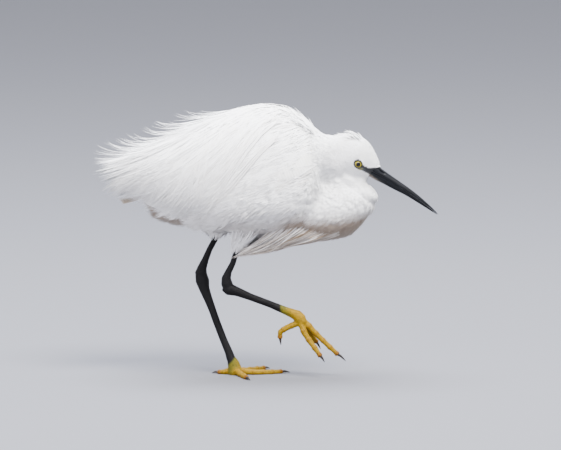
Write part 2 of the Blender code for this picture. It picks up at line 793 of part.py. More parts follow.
def build():
    for obj in list(bpy.data.objects):
        bpy.data.objects.remove(obj)
    draw = random.Random(SEED)
    body = bpy.data.objects.new("egret", None)
    bpy.context.scene.collection.objects.link(body)

    plumage = material("plumage", WHITE, 0.85)
    neck_down = material("neck_plumage", WHITE, 0.85)
    flight = material("flight_feathers", SHADE, 0.8)
    plumes = material("long_plumes", WHITE, 0.8)
    horn = material("bill_horn", BLACK, 0.35)
    scale = material("leg_scales", BLACK, 0.45)
    skin = material("toe_skin", YELLOW, 0.5)
    nail = material("claw_horn", CLAW, 0.35)
    iris = material("eye", PALE_EYE, 0.1)

    # Trunk
    torso = torso_shape("torso")
    finish(torso, plumage, body)

    # Head, with sockets, lids and room for the bill
    head = head_shape("head")
    lids = [hoop("lid", EYE + Vector((0, s * (EYE_OUT + 5.6), 0)), LID_RADIUS, LID_THICK) for s in (1, -1)]
    combine(head, lids + crest(draw), "UNION")
    cutters = [room(ball("socket", EYE + Vector((0, s * EYE_OUT, 0)), EYE_RADIUS)) for s in (1, -1)]
    cutters += [room(bill_shape("upper_room", True)), room(bill_shape("lower_room", False))]
    cutters += [groove("gape", GAPE, s) for s in (1, -1)]
    combine(head, cutters, "DIFFERENCE")
    finish(head, plumage, body)
    for side, word in ((1, "left"), (-1, "right")):
        finish(ball(f"eye_{word}", EYE + Vector((0, side * EYE_OUT, 0)), EYE_RADIUS), iris, body)
    bill = bill_shape("bill_upper", True)
    slits = [
        tube("slit", [(head_point(t, n, s * y), size, size) for t, n, y, size in NOSTRIL], 6) for s in (1, -1)
    ]
    combine(bill, slits, "DIFFERENCE")
    finish(bill, horn, body)
    finish(bill_shape("bill_lower", False), horn, body)

    # Neck
    breast = upright_shape("breast", BREAST, NECK_RINGS, NECK_SIDES)
    combine(breast, breast_plumes(draw), "UNION")
    combine(breast, [room(torso_shape("torso_room")), room(head_shape("head_room"))], "DIFFERENCE")
    finish(breast, neck_down, body)
    neck = upright_shape("neck", NECK_UPPER, NECK_RINGS, NECK_SIDES)
    combine(
        neck,
        [
            room(torso_shape("torso_room")),
            room(head_shape("head_room")),
            room(upright_shape("breast_room", BREAST, NECK_RINGS, NECK_SIDES)),
        ],
        "DIFFERENCE",
    )
    finish(neck, neck_down, body)

    def rooms():
        """Clearance forms of the trunk and the neck."""
        return [
            room(torso_shape("torso_room")),
            room(upright_shape("neck_room", NECK_UPPER, NECK_RINGS, NECK_SIDES)),
            room(upright_shape("breast_room", BREAST, NECK_RINGS, NECK_SIDES)),
        ]

    # Wings
    for side, word in ((1, "left"), (-1, "right")):
        wing = wing_shape(f"wing_{word}", side)
        combine(wing, wing_vanes(side, draw), "UNION")
        combine(wing, rooms(), "DIFFERENCE")
        finish(wing, flight, body)

    # Back plumes
    saddle = saddle_shape("back_plumes")
    combine(saddle, rooms(), "DIFFERENCE")
    combine(saddle, back_plumes(draw), "UNION")
    finish(saddle, plumes, body)

    # Tail
    tail = tube("tail", [((-84, 0, 203), 4, 9), ((-96, 0, 200), 3, 11), ((-105, 0, 197.5), 1.4, 10)], 12)
    combine(tail, tail_feathers(), "UNION")
    combine(tail, [room(torso_shape("torso_room"))], "DIFFERENCE")
    finish(tail, flight, body)

    # Legs
    for word, thigh, shank, tarsus, foot, toes in (
        ("left", THIGH_LEFT, SHANK_LEFT, TARSUS_LEFT, FOOT_LEFT, TOES_LEFT),
        ("right", THIGH_RIGHT, SHANK_RIGHT, TARSUS_RIGHT, FOOT_RIGHT, TOES_RIGHT),
    ):
        floor = 0.0 if word == "left" else None
        upper = tube(f"thigh_{word}", thigh, 20)
        combine(upper, [room(torso_shape("torso_room")), room(tube("shank_room", shank, LEG_SIDES))], "DIFFERENCE")
        finish(upper, plumage, body)
        finish(tube(f"shank_{word}", shank, LEG_SIDES), scale, body)
        lower = tube(f"tarsus_{word}", tarsus, LEG_SIDES)
        combine(lower, [room(tube("limb_room", shank, LEG_SIDES))], "DIFFERENCE")
        finish(lower, scale, body)
        ankle = tube(f"foot_{word}", foot, LEG_SIDES, floor=floor)
        combine(ankle, [room(tube("limb_room", tarsus, LEG_SIDES))], "DIFFERENCE")
        finish(ankle, skin, body)
        placed = []
        for toe, points in toes.items():
            joints = [Vector(p) for p in points[:-1]]
            stations = []
            for i, joint in enumerate(joints):
                size = between(TOE_ROOT, TOE_TIP, i / (len(joints) - 1))
                stations.append((joint, size, size))
                if i < len(joints) - 1:
                    stations.append(((joint + joints[i + 1]) / 2, size * 0.84, size * 0.84))
            made = tube(f"toe_{toe}_{word}", stations, TOE_SIDES, floor=floor)
            cutters = [room(tube("toe_room", other, TOE_SIDES)) for other in placed]
            combine(made, cutters + [room(tube("limb_room", foot, LEG_SIDES))], "DIFFERENCE")
            placed.append(stations)
            finish(made, skin, body)
            root, tip = joints[-1], Vector(points[-1])
            ahead = (tip - root).normalized()
            start = root - (joints[-1] - joints[-2]).normalized() * GAP
            bow = Vector((0, 0, 1)) - ahead * ahead.z
            claw = [
                (start, CLAW_ROOT, CLAW_ROOT),
                (between(start, tip, 0.4) + bow * 0.9, CLAW_ROOT * 0.7, CLAW_ROOT * 0.7),
                (between(start, tip, 0.75) + bow * 0.6, CLAW_ROOT * 0.42, CLAW_ROOT * 0.42),
                (tip, CLAW_TIP, CLAW_TIP),
            ]
            point = tube(f"claw_{toe}_{word}", claw, 7, floor=floor)
            combine(point, [room(tube("toe_room", stations, TOE_SIDES))], "DIFFERENCE")
            finish(point, nail, body)


build()
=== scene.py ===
"""Looks of a life-size little egret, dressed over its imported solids.

The bird walks on its left foot with the right one lifted and its neck folded. White plumage of
solid tufts, plumes and vanes lies over one skin, with a horn bill, wet eyes and scaled legs.
Lengths in the classes are millimetres in the row frame, and meshes are written in metres.
"""

from __future__ import annotations

import logging
import math
from dataclasses import dataclass, field
from enum import Enum
from functools import partial

import bmesh
import bpy
import numpy as np
from bpy.types import Collection, Material, Mesh, Node, NodeSocket, NodeTree, Object
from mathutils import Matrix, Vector


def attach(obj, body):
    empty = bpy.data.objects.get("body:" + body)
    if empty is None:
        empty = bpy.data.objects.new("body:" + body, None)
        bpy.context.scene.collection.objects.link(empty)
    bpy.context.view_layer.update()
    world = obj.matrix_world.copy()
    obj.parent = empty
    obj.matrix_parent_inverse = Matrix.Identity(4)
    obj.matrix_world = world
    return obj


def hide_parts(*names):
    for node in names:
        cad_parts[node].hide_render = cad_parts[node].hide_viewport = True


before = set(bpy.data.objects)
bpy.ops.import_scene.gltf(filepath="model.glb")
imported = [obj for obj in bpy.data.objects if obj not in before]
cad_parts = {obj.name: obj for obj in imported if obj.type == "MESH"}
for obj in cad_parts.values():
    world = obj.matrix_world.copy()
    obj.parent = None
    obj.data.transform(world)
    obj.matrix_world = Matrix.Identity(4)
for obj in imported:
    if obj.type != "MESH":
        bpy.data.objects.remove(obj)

log = logging.getLogger("egret")

MM = 0.001
BODY = "root"
BAKE_MAP = "OFBake"
BAKE_PATCH = 0.003  # side of a strand's patch on the bake map
VANE_MAP = "vane"
SEED = 41
SOFT = 0.72  # how far the coat is shaded as one soft form
LOOSE = 0.3  # the same for loose strands that are seen from both sides
FLAT = 0.3  # height of a silky strand as a share of its width
ROUND = 0.4  # the same for a stringy one
CORNER_LIMIT = 1.8  # how much further a sharp corner of a grown node may move
TOE_NAMES = ("hind", "inner", "middle", "outer")
SPARE_ATTRIBUTES = ("root", "up", "lie", "length", "bare", "ahead")

Array = np.ndarray
Point = tuple[float, float, float]
Rows = tuple[tuple[float, ...], ...]
Stops = tuple[tuple[float, str], ...]
Parts = tuple[Material, NodeTree, Node]


def linear(hex_code: str) -> tuple[float, float, float, float]:
    """Turns an sRGB hex colour into a linear one.

    Args:
        hex_code: Six hex digits.

    Returns:
        Linear red, green, blue and an alpha of one.
    """
    parts = [int(hex_code[i : i + 2], 16) / 255 for i in (0, 2, 4)]
    rgb = [p / 12.92 if p <= 0.04045 else ((p + 0.055) / 1.055) ** 2.4 for p in parts]
    return (rgb[0], rgb[1], rgb[2], 1.0)


def feed(node: Node, inputs: dict[str | int, object]) -> None:
    """Sets inputs of a node.

    Args:
        node: The node.
        inputs: By name or number, a constant, or the socket to link, or a node whose first socket is linked.
    """
    for key, value in inputs.items():
        value = value.outputs[0] if isinstance(value, Node) else value
        if isinstance(value, NodeSocket):
            node.id_data.links.new(value, node.inputs[key])
        else:
            node.inputs[key].default_value = value


def add_node(
        tree: NodeTree, kind: str, settings: dict[str, object] | None = None,
        inputs: dict[str | int, object] | None = None) -> Node:
    """Adds a node with its settings, constants and links.

    Args:
        tree: The tree that gets the node.
        kind: Blender's name of the node's type.
        settings: Properties of the node.
        inputs: What goes into it, as feed takes it.

    Returns:
        The new node.
    """
    node = tree.nodes.new(kind)
    for key, value in (settings or {}).items():
        setattr(node, key, value)
    feed(node, inputs or {})
    return node


def ease(low: float, high: float, value: Array) -> Array:
    """Rises softly from 0 at low to 1 at high.

    Args:
        low: Value where the result is 0.
        high: Value where the result is 1.
        value: Numbers to map.

    Returns:
        Numbers from 0 to 1.
    """
    share = np.clip((value - low) / (high - low), 0.0, 1.0)
    return share * share * (3 - 2 * share)


def circle(count: int) -> Array:
    """Gives even turns round a circle in radians."""
    return np.linspace(0, 2 * math.pi, count, endpoint=False)


def unit(vectors: Array) -> Array:
    """Scales vectors to length one.

    Args:
        vectors: Array whose last axis holds the vector.

    Returns:
        Unit vectors of the same shape.
    """
    return vectors / np.maximum(np.linalg.norm(vectors, axis=-1, keepdims=True), 1e-12)


def table_at(table: Rows, place: Array) -> Array:
    """Reads a table of sizes on smooth curves through its rows.

    Args:
        table: Rows that start with their place, in rising order.
        place: Places to read, any shape.

    Returns:
        The other columns at each place, on a new last axis.
    """
    rows = np.array(table, dtype=float)
    places, columns = rows[:, 0], rows[:, 1:]
    place = np.clip(np.asarray(place, dtype=float), places[0], places[-1])
    i = np.clip(np.searchsorted(places, place, side="right") - 1, 0, len(places) - 2)
    low, high = np.maximum(np.arange(len(places)) - 1, 0), np.minimum(
        np.arange(len(places)) + 1, len(places) - 1)
    slopes = (columns[high] - columns[low]) / (places[high] - places[low])[:, None]
    span = (places[i + 1] - places[i])[..., None]
    t = (place - places[i])[..., None] / span
    return (
        columns[i] * (2 * t**3 - 3 * t**2 + 1) + slopes[i] * span * (t**3 - 2 * t**2 + t) + columns[i + 1]
        * (3 * t**2 - 2 * t**3) + slopes[i + 1] * span * (t**3 - t**2))


def link(obj: Object) -> Object:
    """Links an object to the scene and gives it back."""
    bpy.context.scene.collection.objects.link(obj)
    return obj


def side_word(side: int) -> str:
    """Names a side: 1 is the left, -1 the right."""
    return "left" if side > 0 else "right"


def unwrap(points: Array) -> Array:
    """Unwraps places on the bird, left and right half apart, by turn and place along the body.

    Args:
        points: Places in metres, last axis x, y, z.

    Returns:
        Places on the map from 0 to 1.
    """
    x, y, z = points[..., 0], points[..., 1], points[..., 2]
    turn = np.arctan2(np.abs(y), z - 0.2) / math.pi
    across = np.where(y >= 0, 0.02 + 0.46 * turn, 0.98 - 0.46 * turn)
    along = 0.02 + 0.95 * np.clip((x + 0.17) / 0.41, 0, 1)
    return np.stack([across, along], axis=-1)


def read_rows(
        source: bpy.types.bpy_prop_collection, label: str, width: int = 3,
        kind: type = np.float32) -> Array:
    """Reads a property of all elements at once.

    Args:
        source: Blender's list of the elements.
        label: Name of the property.
        width: How many numbers each element has.
        kind: Type of the numbers.

    Returns:
        An array of n by width.
    """
    flat = np.empty(len(source) * width, dtype=kind)
    source.foreach_get(label, flat)
    return flat.reshape(-1, width)


def places_of(mesh: Mesh) -> Array:
    """Gives a mesh's vertex places in millimetres, n by 3."""
    return read_rows(mesh.vertices, "co").astype(float) / MM


def normals_of(mesh: Mesh) -> Array:
    """Gives a mesh's vertex normals, n by 3."""
    return read_rows(mesh.vertex_normals, "vector").astype(float)


def stored(mesh: Mesh, name: str) -> Array:
    """Gives a stored vector attribute of the vertices, n by 3."""
    return read_rows(mesh.attributes[name].data, "vector").astype(float)


def corners_of(mesh: Mesh) -> Array:
    """Gives the number of the vertex at each corner of the faces."""
    return read_rows(mesh.loops, "vertex_index", 1, np.int32)[:, 0]


def move_points(mesh: Mesh, points: Array) -> None:
    """Moves a mesh's vertices to places in millimetres."""
    mesh.vertices.foreach_set("co", (points * MM).astype(np.float32).ravel())
    mesh.update()


def set_map(mesh: Mesh, name: str, per_corner: Array) -> None:
    """Writes a UV map, over the one of that name if there is one.

    Args:
        mesh: The mesh that gets the map.
        name: Name of the map.
        per_corner: Two numbers for each corner of the faces.
    """
    layer = mesh.uv_layers.get(name) or mesh.uv_layers.new(name=name)
    layer.data.foreach_set("uv", per_corner.astype(np.float32).ravel())


def set_numbers(mesh: Mesh, name: str, values: Array) -> None:
    """Stores a number or a vector for each vertex as a named attribute.

    Args:
        mesh: The mesh that gets the attribute.
        name: Name of the attribute.
        values: One number, or three, for each vertex.
    """
    kind, label = ("FLOAT", "value") if values.ndim == 1 else ("FLOAT_VECTOR", "vector")
    layer = mesh.attributes.new(name, kind, "POINT")
    layer.data.foreach_set(label, values.astype(np.float32).ravel())


def set_lie(mesh: Mesh, lie: Array, normals: Array) -> None:
    """Stores the lie of the feathers, laid flat on the surface.

    Args:
        mesh: The mesh that gets the attribute.
        lie: Direction of the feathers at each vertex.
        normals: The vertex normals.
    """
    set_numbers(mesh, "lie", unit(lie - normals * np.sum(lie * normals, axis=1, keepdims=True)))


def mesh_of(name: str, points: Array, faces: list[Array]) -> Mesh:
    """Makes a mesh quickly from arrays.

    Args:
        name: Name of the mesh.
        points: Vertex places in metres, n by 3.
        faces: Arrays of faces, each with one number of corners.

    Returns:
        The new mesh, shaded smooth.
    """
    mesh = bpy.data.meshes.new(name)
    mesh.vertices.add(len(points))
    mesh.vertices.foreach_set("co", points.astype(np.float32).ravel())
    corners = np.concatenate([f.ravel() for f in faces]).astype(np.int32)
    sizes = np.concatenate([np.full(len(f), f.shape[1]) for f in faces])
    starts = np.concatenate([[0], np.cumsum(sizes)[:-1]]).astype(np.int32)
    mesh.loops.add(len(corners))
    mesh.loops.foreach_set("vertex_index", corners)
    mesh.polygons.add(len(sizes))
    mesh.polygons.foreach_set("loop_start", starts)
    mesh.update(calc_edges=True)
    mesh.validate()
    mesh.shade_smooth()
    return mesh


def soften(mesh: Mesh, outs: Array, share: float = SOFT) -> None:
    """Bends the shading of strands towards the coat's own outward direction.

    Light scatters from barb to barb in real down, so the eye sees the form and hardly the strands.

    Args:
        mesh: Strands or tufts.
        outs: Outward direction of the coat at each vertex.
        share: How far the normals bend.
    """
    bent = unit(normals_of(mesh) * (1 - share) + unit(outs) * share)
    mesh.normals_split_custom_set_from_vertices(bent)


def tubes(name: str, rings: Array, pointed: bool = False) -> Object:
    """Makes closed tubes, one for each row of rings, such as strands, vanes or a half of a bill.

    Args:
        name: Name of the object.
        rings: Ring points in millimetres: tube, station, point round the ring, x y z.
        pointed: True if the last ring shrinks to one point.

    Returns:
        One object with all the tubes, with its vane map and its bake map.
    """
    count, stations, sides, _ = rings.shape
    whole = stations - 1 if pointed else stations
    each = whole * sides + (1 if pointed else 0)
    numbers = np.arange(count)[:, None, None] * each + np.arange(whole * sides).reshape(whole, sides)
    a, b = numbers[:, :-1], numbers[:, 1:]
    quads = np.stack([a, np.roll(a, -1, axis=2), np.roll(b, -1, axis=2), b], axis=-1).reshape(-1, 4)
    points = rings[:, :whole].reshape(count, -1, 3)
    local = np.empty((stations, sides, 2))
    local[..., 0] = np.arange(sides) / max(sides - 1, 1)
    local[..., 1] = np.linspace(0, 1, stations)[:, None]
    local = local[:whole].reshape(-1, 2)
    if pointed:
        last = numbers[:, -1]
        tip = np.broadcast_to(numbers[:, :1, 0] + each - 1, last.shape)
        ends = np.stack([last, np.roll(last, -1, axis=1), tip], axis=-1).reshape(-1, 3)
        points = np.concatenate([points, rings[:, -1].mean(axis=1)[:, None]], axis=1)
        local = np.concatenate([local, [[0.5, 1.0]]])
    else:
        ends = numbers[:, -1]
    mesh = mesh_of(name, points.reshape(-1, 3) * MM, [quads, numbers[:, 0, ::-1], ends])
    corners = corners_of(mesh)
    set_map(mesh, VANE_MAP, np.tile(local, (count, 1))[corners])
    starts = unwrap(rings.mean(axis=2)[:, 0] * MM)
    bake = starts[:, None, :] + (local - 0.5) * BAKE_PATCH
    set_map(mesh, BAKE_MAP, bake.reshape(-1, 2)[corners])
    return link(bpy.data.objects.new(name, mesh))


def directions(paths: Array, outs: Array) -> tuple[Array, Array]:
    """Turns outward directions square to their paths.

    Args:
        paths: Points along each path: path, station, x y z.
        outs: Outward directions of the same shape.

    Returns:
        Unit vectors across each path, and outward and square to it.
    """
    ahead = unit(np.gradient(paths, axis=1))
    across = unit(np.cross(outs, ahead))
    return across, np.cross(ahead, across)


def strands(
        name: str, paths: Array, outs: Array, widths: Array, height: float = 0.5,
        soft: float = SOFT) -> Object:
    """Makes fine three-sided strands along paths.

    Args:
        name: Name of the object.
        paths: Points in millimetres: strand, station, x y z.
        outs: Outward directions of the same shape.
        widths: Width at each station: strand, station.
        height: Height of a strand as a share of its width.
        soft: How far the strands are shaded as one soft coat, from 0 to 1.

    Returns:
        One object that holds every strand.
    """
    across, up = directions(paths, outs)
    half = widths[..., None] / 2
    corners = [paths - across * half, paths + across * half, paths + up * half * 2 * height]
    obj = tubes(name, np.stack(corners, axis=2), pointed=True)
    if soft:
        each = np.concatenate([np.repeat(up[:, :-1], 3, axis=1), up[:, -1:]], axis=1)
        soften(obj.data, each.reshape(-1, 3), soft)
    return obj


def set_stain_and_shade(obj: Object, each: Array) -> None:
    """Stores a value of stain and painted shade for each strand of a piece.

    Args:
        obj: A piece of strands that all have the same number of points.
        each: One number for each strand.
    """
    set_numbers(obj.data, "stain", np.repeat(each, len(obj.data.vertices) // len(each)))


def vanes(name: str, paths: Array, outs: Array, widths: Array, thick: float, camber: float) -> Object:
    """Makes thin closed vanes with a bowed section and a ridge for the shaft.

    Args:
        name: Name of the object.
        paths: Points of the shafts in millimetres: vane, station, x y z.
        outs: Outward directions of the same shape.
        widths: Width at each station.
        thick: Thickness at the shaft.
        camber: Height of the bow as a share of the half width.

    Returns:
        One object that holds every vane.
    """
    across, up = directions(paths, outs)
    spots = np.array([-1, -0.55, -0.07, 0, 0.07, 0.55, 1.0])
    ridge = np.array([0.25, 0.5, 0.7, 1.25, 0.7, 0.5, 0.25]) * thick / 2
    half = widths[..., None, None] / 2
    bow = camber * half * (1 - spots[:, None] ** 2)
    sheet = paths[:, :, None] + across[:, :, None] * half * spots[:, None]
    top = sheet + up[:, :, None] * (bow + ridge[:, None])
    under = sheet + up[:, :, None] * (bow - np.minimum(ridge, thick * 0.3)[:, None])
    return tubes(name, np.concatenate([under, top[:, :, ::-1]], axis=2))


def plain_mesh(obj: Object) -> Object:
    """Turns an object's evaluated mesh into its own and removes its modifiers.

    Args:
        obj: An object whose modifiers are set.

    Returns:
        The same object with a plain mesh.
    """
    graph = bpy.context.evaluated_depsgraph_get()
    made = bpy.data.meshes.new_from_object(obj.evaluated_get(graph))
    obj.modifiers.clear()
    old = obj.data
    obj.data = made
    made.name = obj.name
    if not old.users:
        bpy.data.meshes.remove(old)
    return obj


def fit(obj: Object, finish: Material, replaces: tuple[str, ...] = ()) -> None:
    """Gives a piece its material and hangs it on the body.

    Args:
        obj: The finished piece.
        finish: Its material.
        replaces: CAD nodes that the piece stands for.
    """
    obj.data.materials.clear()
    obj.data.materials.append(finish)
    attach(obj, BODY)
    if replaces:
        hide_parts(*replaces)
    log.info("%s: %d faces", obj.name, len(obj.data.polygons))


def joined_nodes(
        name: str, nodes: tuple[str, ...], grow: float, voxel: float,
        fills: tuple[tuple[Point, Point], ...] = (), form: Object | None = None) -> Object:
    """Joins copies of CAD nodes in one closed skin.

    Args:
        name: Name of the new object.
        nodes: CAD nodes to copy.
        grow: How far each copy grows in millimetres, which closes the gaps between nodes.
        voxel: Cell size of the remesh in millimetres.
        fills: Middle and radii of egg shapes that close a fold between nodes.
        form: A working form that joins them and is then removed.

    Returns:
        The joined and remeshed object.
    """
    whole = bmesh.new()
    if form:
        whole.from_mesh(form.data)
        bpy.data.meshes.remove(form.data)  # its object goes with it
    for middle, radii in fills:
        egg = bmesh.ops.create_icosphere(whole, subdivisions=4, radius=1.0)
        for vertex in egg["verts"]:
            vertex.co = Vector([(m + r * c) * MM for m, r, c in zip(middle, radii, vertex.co)])
    for node in nodes:
        part = bmesh.new()
        part.from_mesh(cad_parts[node].data)
        bmesh.ops.remove_doubles(part, verts=part.verts, dist=1e-6)
        part.normal_update()
        moves = [v.normal * grow * MM * min(v.calc_shell_factor(), CORNER_LIMIT) for v in part.verts]
        for vertex, move in zip(part.verts, moves):
            vertex.co += move
        copy = bpy.data.meshes.new("copy")
        part.to_mesh(copy)
        part.free()
        whole.from_mesh(copy)
        bpy.data.meshes.remove(copy)
    mesh = bpy.data.meshes.new(name)
    whole.to_mesh(mesh)
    whole.free()
    obj = link(bpy.data.objects.new(name, mesh))
    remesh = obj.modifiers.new("one skin", "REMESH")
    remesh.mode = "VOXEL"
    remesh.voxel_size = voxel * MM
    return plain_mesh(obj)


def neighbours_mean(mesh: Mesh, values: Array) -> Array:
    """Averages each vertex's neighbours.

    Args:
        mesh: The mesh whose edges join the neighbours.
        values: Numbers or vectors for each vertex.

    Returns:
        The mean over the neighbours of each vertex.
    """
    a, b = read_rows(mesh.edges, "vertices", 2, np.int32).T
    size = len(values)
    count = np.bincount(np.concatenate([a, b]), minlength=size)
    total = [
        np.bincount(a, weights=column[b], minlength=size)
        + np.bincount(b, weights=column[a], minlength=size) for column in values.reshape(size, -1).T]
    return (np.stack(total, axis=-1) / np.maximum(count, 1)[:, None]).reshape(values.shape)


@dataclass(frozen=True)
class HeadFrame:
    """The head's own axis, which points down the bill from the eye."""

    eye: Point = (138.6, 0.0, 235.6)
    pitch: float = -36.0

    def along(self) -> Array:
        """Direction of the bill."""
        turn = math.radians(self.pitch)
        return np.array([math.cos(turn), 0, math.sin(turn)])

    def up(self) -> Array:
        """Direction from the chin to the crown."""
        turn = math.radians(self.pitch)
        return np.array([-math.sin(turn), 0, math.cos(turn)])

    def point(self, place: Array, height: Array, across: Array) -> Array:
        """Gives points in the row frame.

        Args:
            place: Distance along the axis.
            height: Distance up from it.
            across: Distance to the left.

        Returns:
            Points with x, y, z on the last axis.
        """
        base = np.array(self.eye) + np.multiply.outer(place, self.along()) + np.multiply.outer(
            height, self.up())
        return base + np.multiply.outer(across, [0, 1, 0])

    def coordinates(self, points: Array) -> tuple[Array, Array]:
        """Gives place along and height above the axis.

        Args:
            points: Points in millimetres, n by 3.

        Returns:
            Place and height of each point.
        """
        offset = points - np.array(self.eye)
        return offset @ self.along(), offset @ self.up()


HEAD = HeadFrame()


@dataclass(frozen=True)
class Cloak:
    """The envelope of the folded wings and back plumes, as in the solids."""

    rows: Rows = (
        (-152, 216, 13, 20, 9), (-120, 220, 18, 30, 21), (-95, 221, 27, 42, 33), (-70, 220, 40, 54, 44),
        (-40, 216, 59, 58, 53), (0, 210, 81, 62, 60), (40, 207, 91, 66, 62), (70, 207, 85, 66, 59),
        (88, 209, 70, 66, 51), (95, 212, 58, 60, 41), (99, 214, 40, 48, 26))
    wing_edge: Rows = ((-108, 191), (-83, 187), (-66, 179), (-42, 178), (0, 194), (45, 212), (88, 229))

    def point(self, x: Array, angle: Array, depth: Array, side: Array) -> Array:
        """Gives points of the envelope.

        Args:
            x: Place along the body.
            angle: Degrees from the top of the back.
            depth: How far inside the envelope.
            side: 1 on the left, -1 on the right.

        Returns:
            Points with x, y, z on the last axis.
        """
        x, angle, depth, side = np.broadcast_arrays(
            *[np.asarray(a, dtype=float) for a in (x, angle, depth, side)])
        middle, above, below, half = np.moveaxis(table_at(self.rows, x), -1, 0)
        turn = np.radians(angle)
        reach = np.where(angle < 90, above, below)
        y = side * (half - depth) * np.sin(turn)
        return np.stack([x, y, middle + (reach - depth) * np.cos(turn)], axis=-1)

    def out(self, x: Array, angle: Array | float, side: int) -> Array:
        """Gives outward directions of the envelope.

        Args:
            x: Place along the body.
            angle: Degrees from the top of the back.
            side: 1 on the left, -1 on the right.

        Returns:
            Unit vectors with x, y, z on the last axis.
        """
        here = self.point(x, angle, 0, side)
        back = self.point(x - 1, angle, 0, side) - here
        turn = self.point(x, angle + 1, 0, side) - here
        return unit(np.cross(turn, back) * np.asarray(side, dtype=float)[..., None])

    def angle_at(self, x: Array, z: Array) -> Array:
        """Gives the angle of a height at places along the body."""
        middle, above, below, _ = np.moveaxis(table_at(self.rows, x), -1, 0)
        return np.degrees(np.arccos(np.clip((z - middle) / np.where(z > middle, above, below), -0.97, 1)))

    def edge_height(self, x: Array) -> Array:
        """Gives the height of the folded wing's lower edge at places along the body."""
        return table_at(self.wing_edge, x)[..., 0]

    def inset(self, angle: Array) -> Array:
        """Gives how far loose feathers are drawn in at the sides, so that they keep to the solids' width."""
        return 4.0 * np.sin(np.radians(angle)) ** 4

    def edge_angle(self, x: Array) -> Array:
        """Gives the angle of the folded wing's lower edge at places along the body."""
        return self.angle_at(x, self.edge_height(x))


CLOAK = Cloak()


@dataclass(frozen=True)
class Finish:
    """A material on Blender's principled shader."""

    name: str

    def start(self, values: dict[str, object]) -> Parts:
        """Makes the material with the values that are the same all over it.

        Args:
            values: Constant values of the shader by input name.

        Returns:
            The material, its tree and its shader.
        """
        made = bpy.data.materials.new(self.name)
        made.use_nodes = True
        shader = made.node_tree.nodes["Principled BSDF"]
        feed(shader, values)
        return made, made.node_tree, shader

    def grade(self, ramp: Node, ends: Stops, between: Stops) -> None:
        """Sets the stops of a colour ramp.

        Args:
            ramp: The ramp's node.
            ends: Place and colour of the first and the last stop.
            between: Place and colour of the stops between them.
        """
        stops = ramp.color_ramp.elements
        for stop, (place, colour) in zip(stops, ends):
            stop.position, stop.color = place, linear(colour)
        for place, colour in between:
            stops.new(place).color = linear(colour)


@dataclass(frozen=True)
class WhiteDown(Finish):
    """Contour feathers: white keratin barbs, loose and matt, that scatter light among themselves.

    The eye sees a soft chalky white that turns warm beige on the underside: partly real mud stain, partly
    painted shade and bounce light.
    """

    name: str = "white_feather_barbs"
    white: str = "FBFBFC"
    # warm beige for mud stain and painted shade
    stain_shade_tone: str = "85705A"
    roughness: float = 0.78
    clump: float = 18.0

    def make(self) -> Material:
        """Builds the material.

        Returns:
            The material.
        """
        made, tree, shader = self.start(
            {"Roughness": self.roughness, "IOR": 1.54, "Specular IOR Level": 0.35, "Sheen Weight": 0.35,
            "Sheen Roughness": 0.5})
        # the stored value mixes in real mud stain and painted shade on the underside
        stain = add_node(tree, "ShaderNodeAttribute", {"attribute_name": "stain"}).outputs["Fac"]
        place = add_node(tree, "ShaderNodeTexCoord").outputs["Object"]
        clumps = add_node(
            tree, "ShaderNodeTexNoise",
            inputs={"Scale": 1 / (self.clump * MM), "Detail": 3.0, "Roughness": 0.6, "Vector": place})
        uneven = add_node(
            tree, "ShaderNodeMapRange",
            inputs={"From Min": 0.3, "From Max": 0.7, "To Max": 0.05, "Value": clumps})
        total = add_node(
            tree, "ShaderNodeMath", {"operation": "ADD", "use_clamp": True}, {0: stain, 1: uneven})
        colour = add_node(
            tree, "ShaderNodeMix", {"data_type": "RGBA"},
            {6: linear(self.white), 7: linear(self.stain_shade_tone), 0: total})
        feed(shader, {"Base Color": colour.outputs[2]})
        return made


@dataclass(frozen=True)
class FlightVane(Finish):
    """Vanes of wing and tail: closed white keratin, smooth, with barbs about a third of a millimetre apart.

    The barbs are drawn three times as coarse, or they would not show. The eye sees a faint slanting
    grain and a thin shaft of a darker cream.
    """

    name: str = "white_feather_vane"
    white: str = "F5F4F1"
    shaft: str = "DDD3BE"
    roughness: float = 0.55
    barbs: float = 55.0
    slant: float = 9.0

    def make(self) -> Material:
        """Builds the material.

        Returns:
            The material.
        """
        made, tree, shader = self.start({"Roughness": self.roughness, "IOR": 1.54, "Sheen Weight": 0.2})
        place = add_node(tree, "ShaderNodeUVMap", {"uv_map": VANE_MAP})
        split = add_node(tree, "ShaderNodeSeparateXYZ", inputs={0: place})
        centred = add_node(tree, "ShaderNodeMath", {"operation": "PINGPONG"}, {1: 0.25, 0: split})
        slanted = add_node(
            tree, "ShaderNodeMath", {"operation": "MULTIPLY_ADD"},
            {1: self.slant / self.barbs * -2, 0: centred, 2: split.outputs[1]})
        turned = add_node(
            tree, "ShaderNodeMath", {"operation": "MULTIPLY"}, {1: self.barbs * 2 * math.pi, 0: slanted})
        wave = add_node(tree, "ShaderNodeMath", {"operation": "SINE"}, {0: turned})
        bump = add_node(
            tree, "ShaderNodeBump", inputs={"Strength": 0.35, "Distance": 0.15 * MM, "Height": wave})
        on_shaft = add_node(
            tree, "ShaderNodeMapRange",
            inputs={"From Min": 0.225, "From Max": 0.245, "To Max": 0.7, "Value": centred})
        colour = add_node(
            tree, "ShaderNodeMix", {"data_type": "RGBA"},
            {6: linear(self.white), 7: linear(self.shaft), 0: on_shaft})
        feed(shader, {"Base Color": colour.outputs[2], "Normal": bump})
        return made


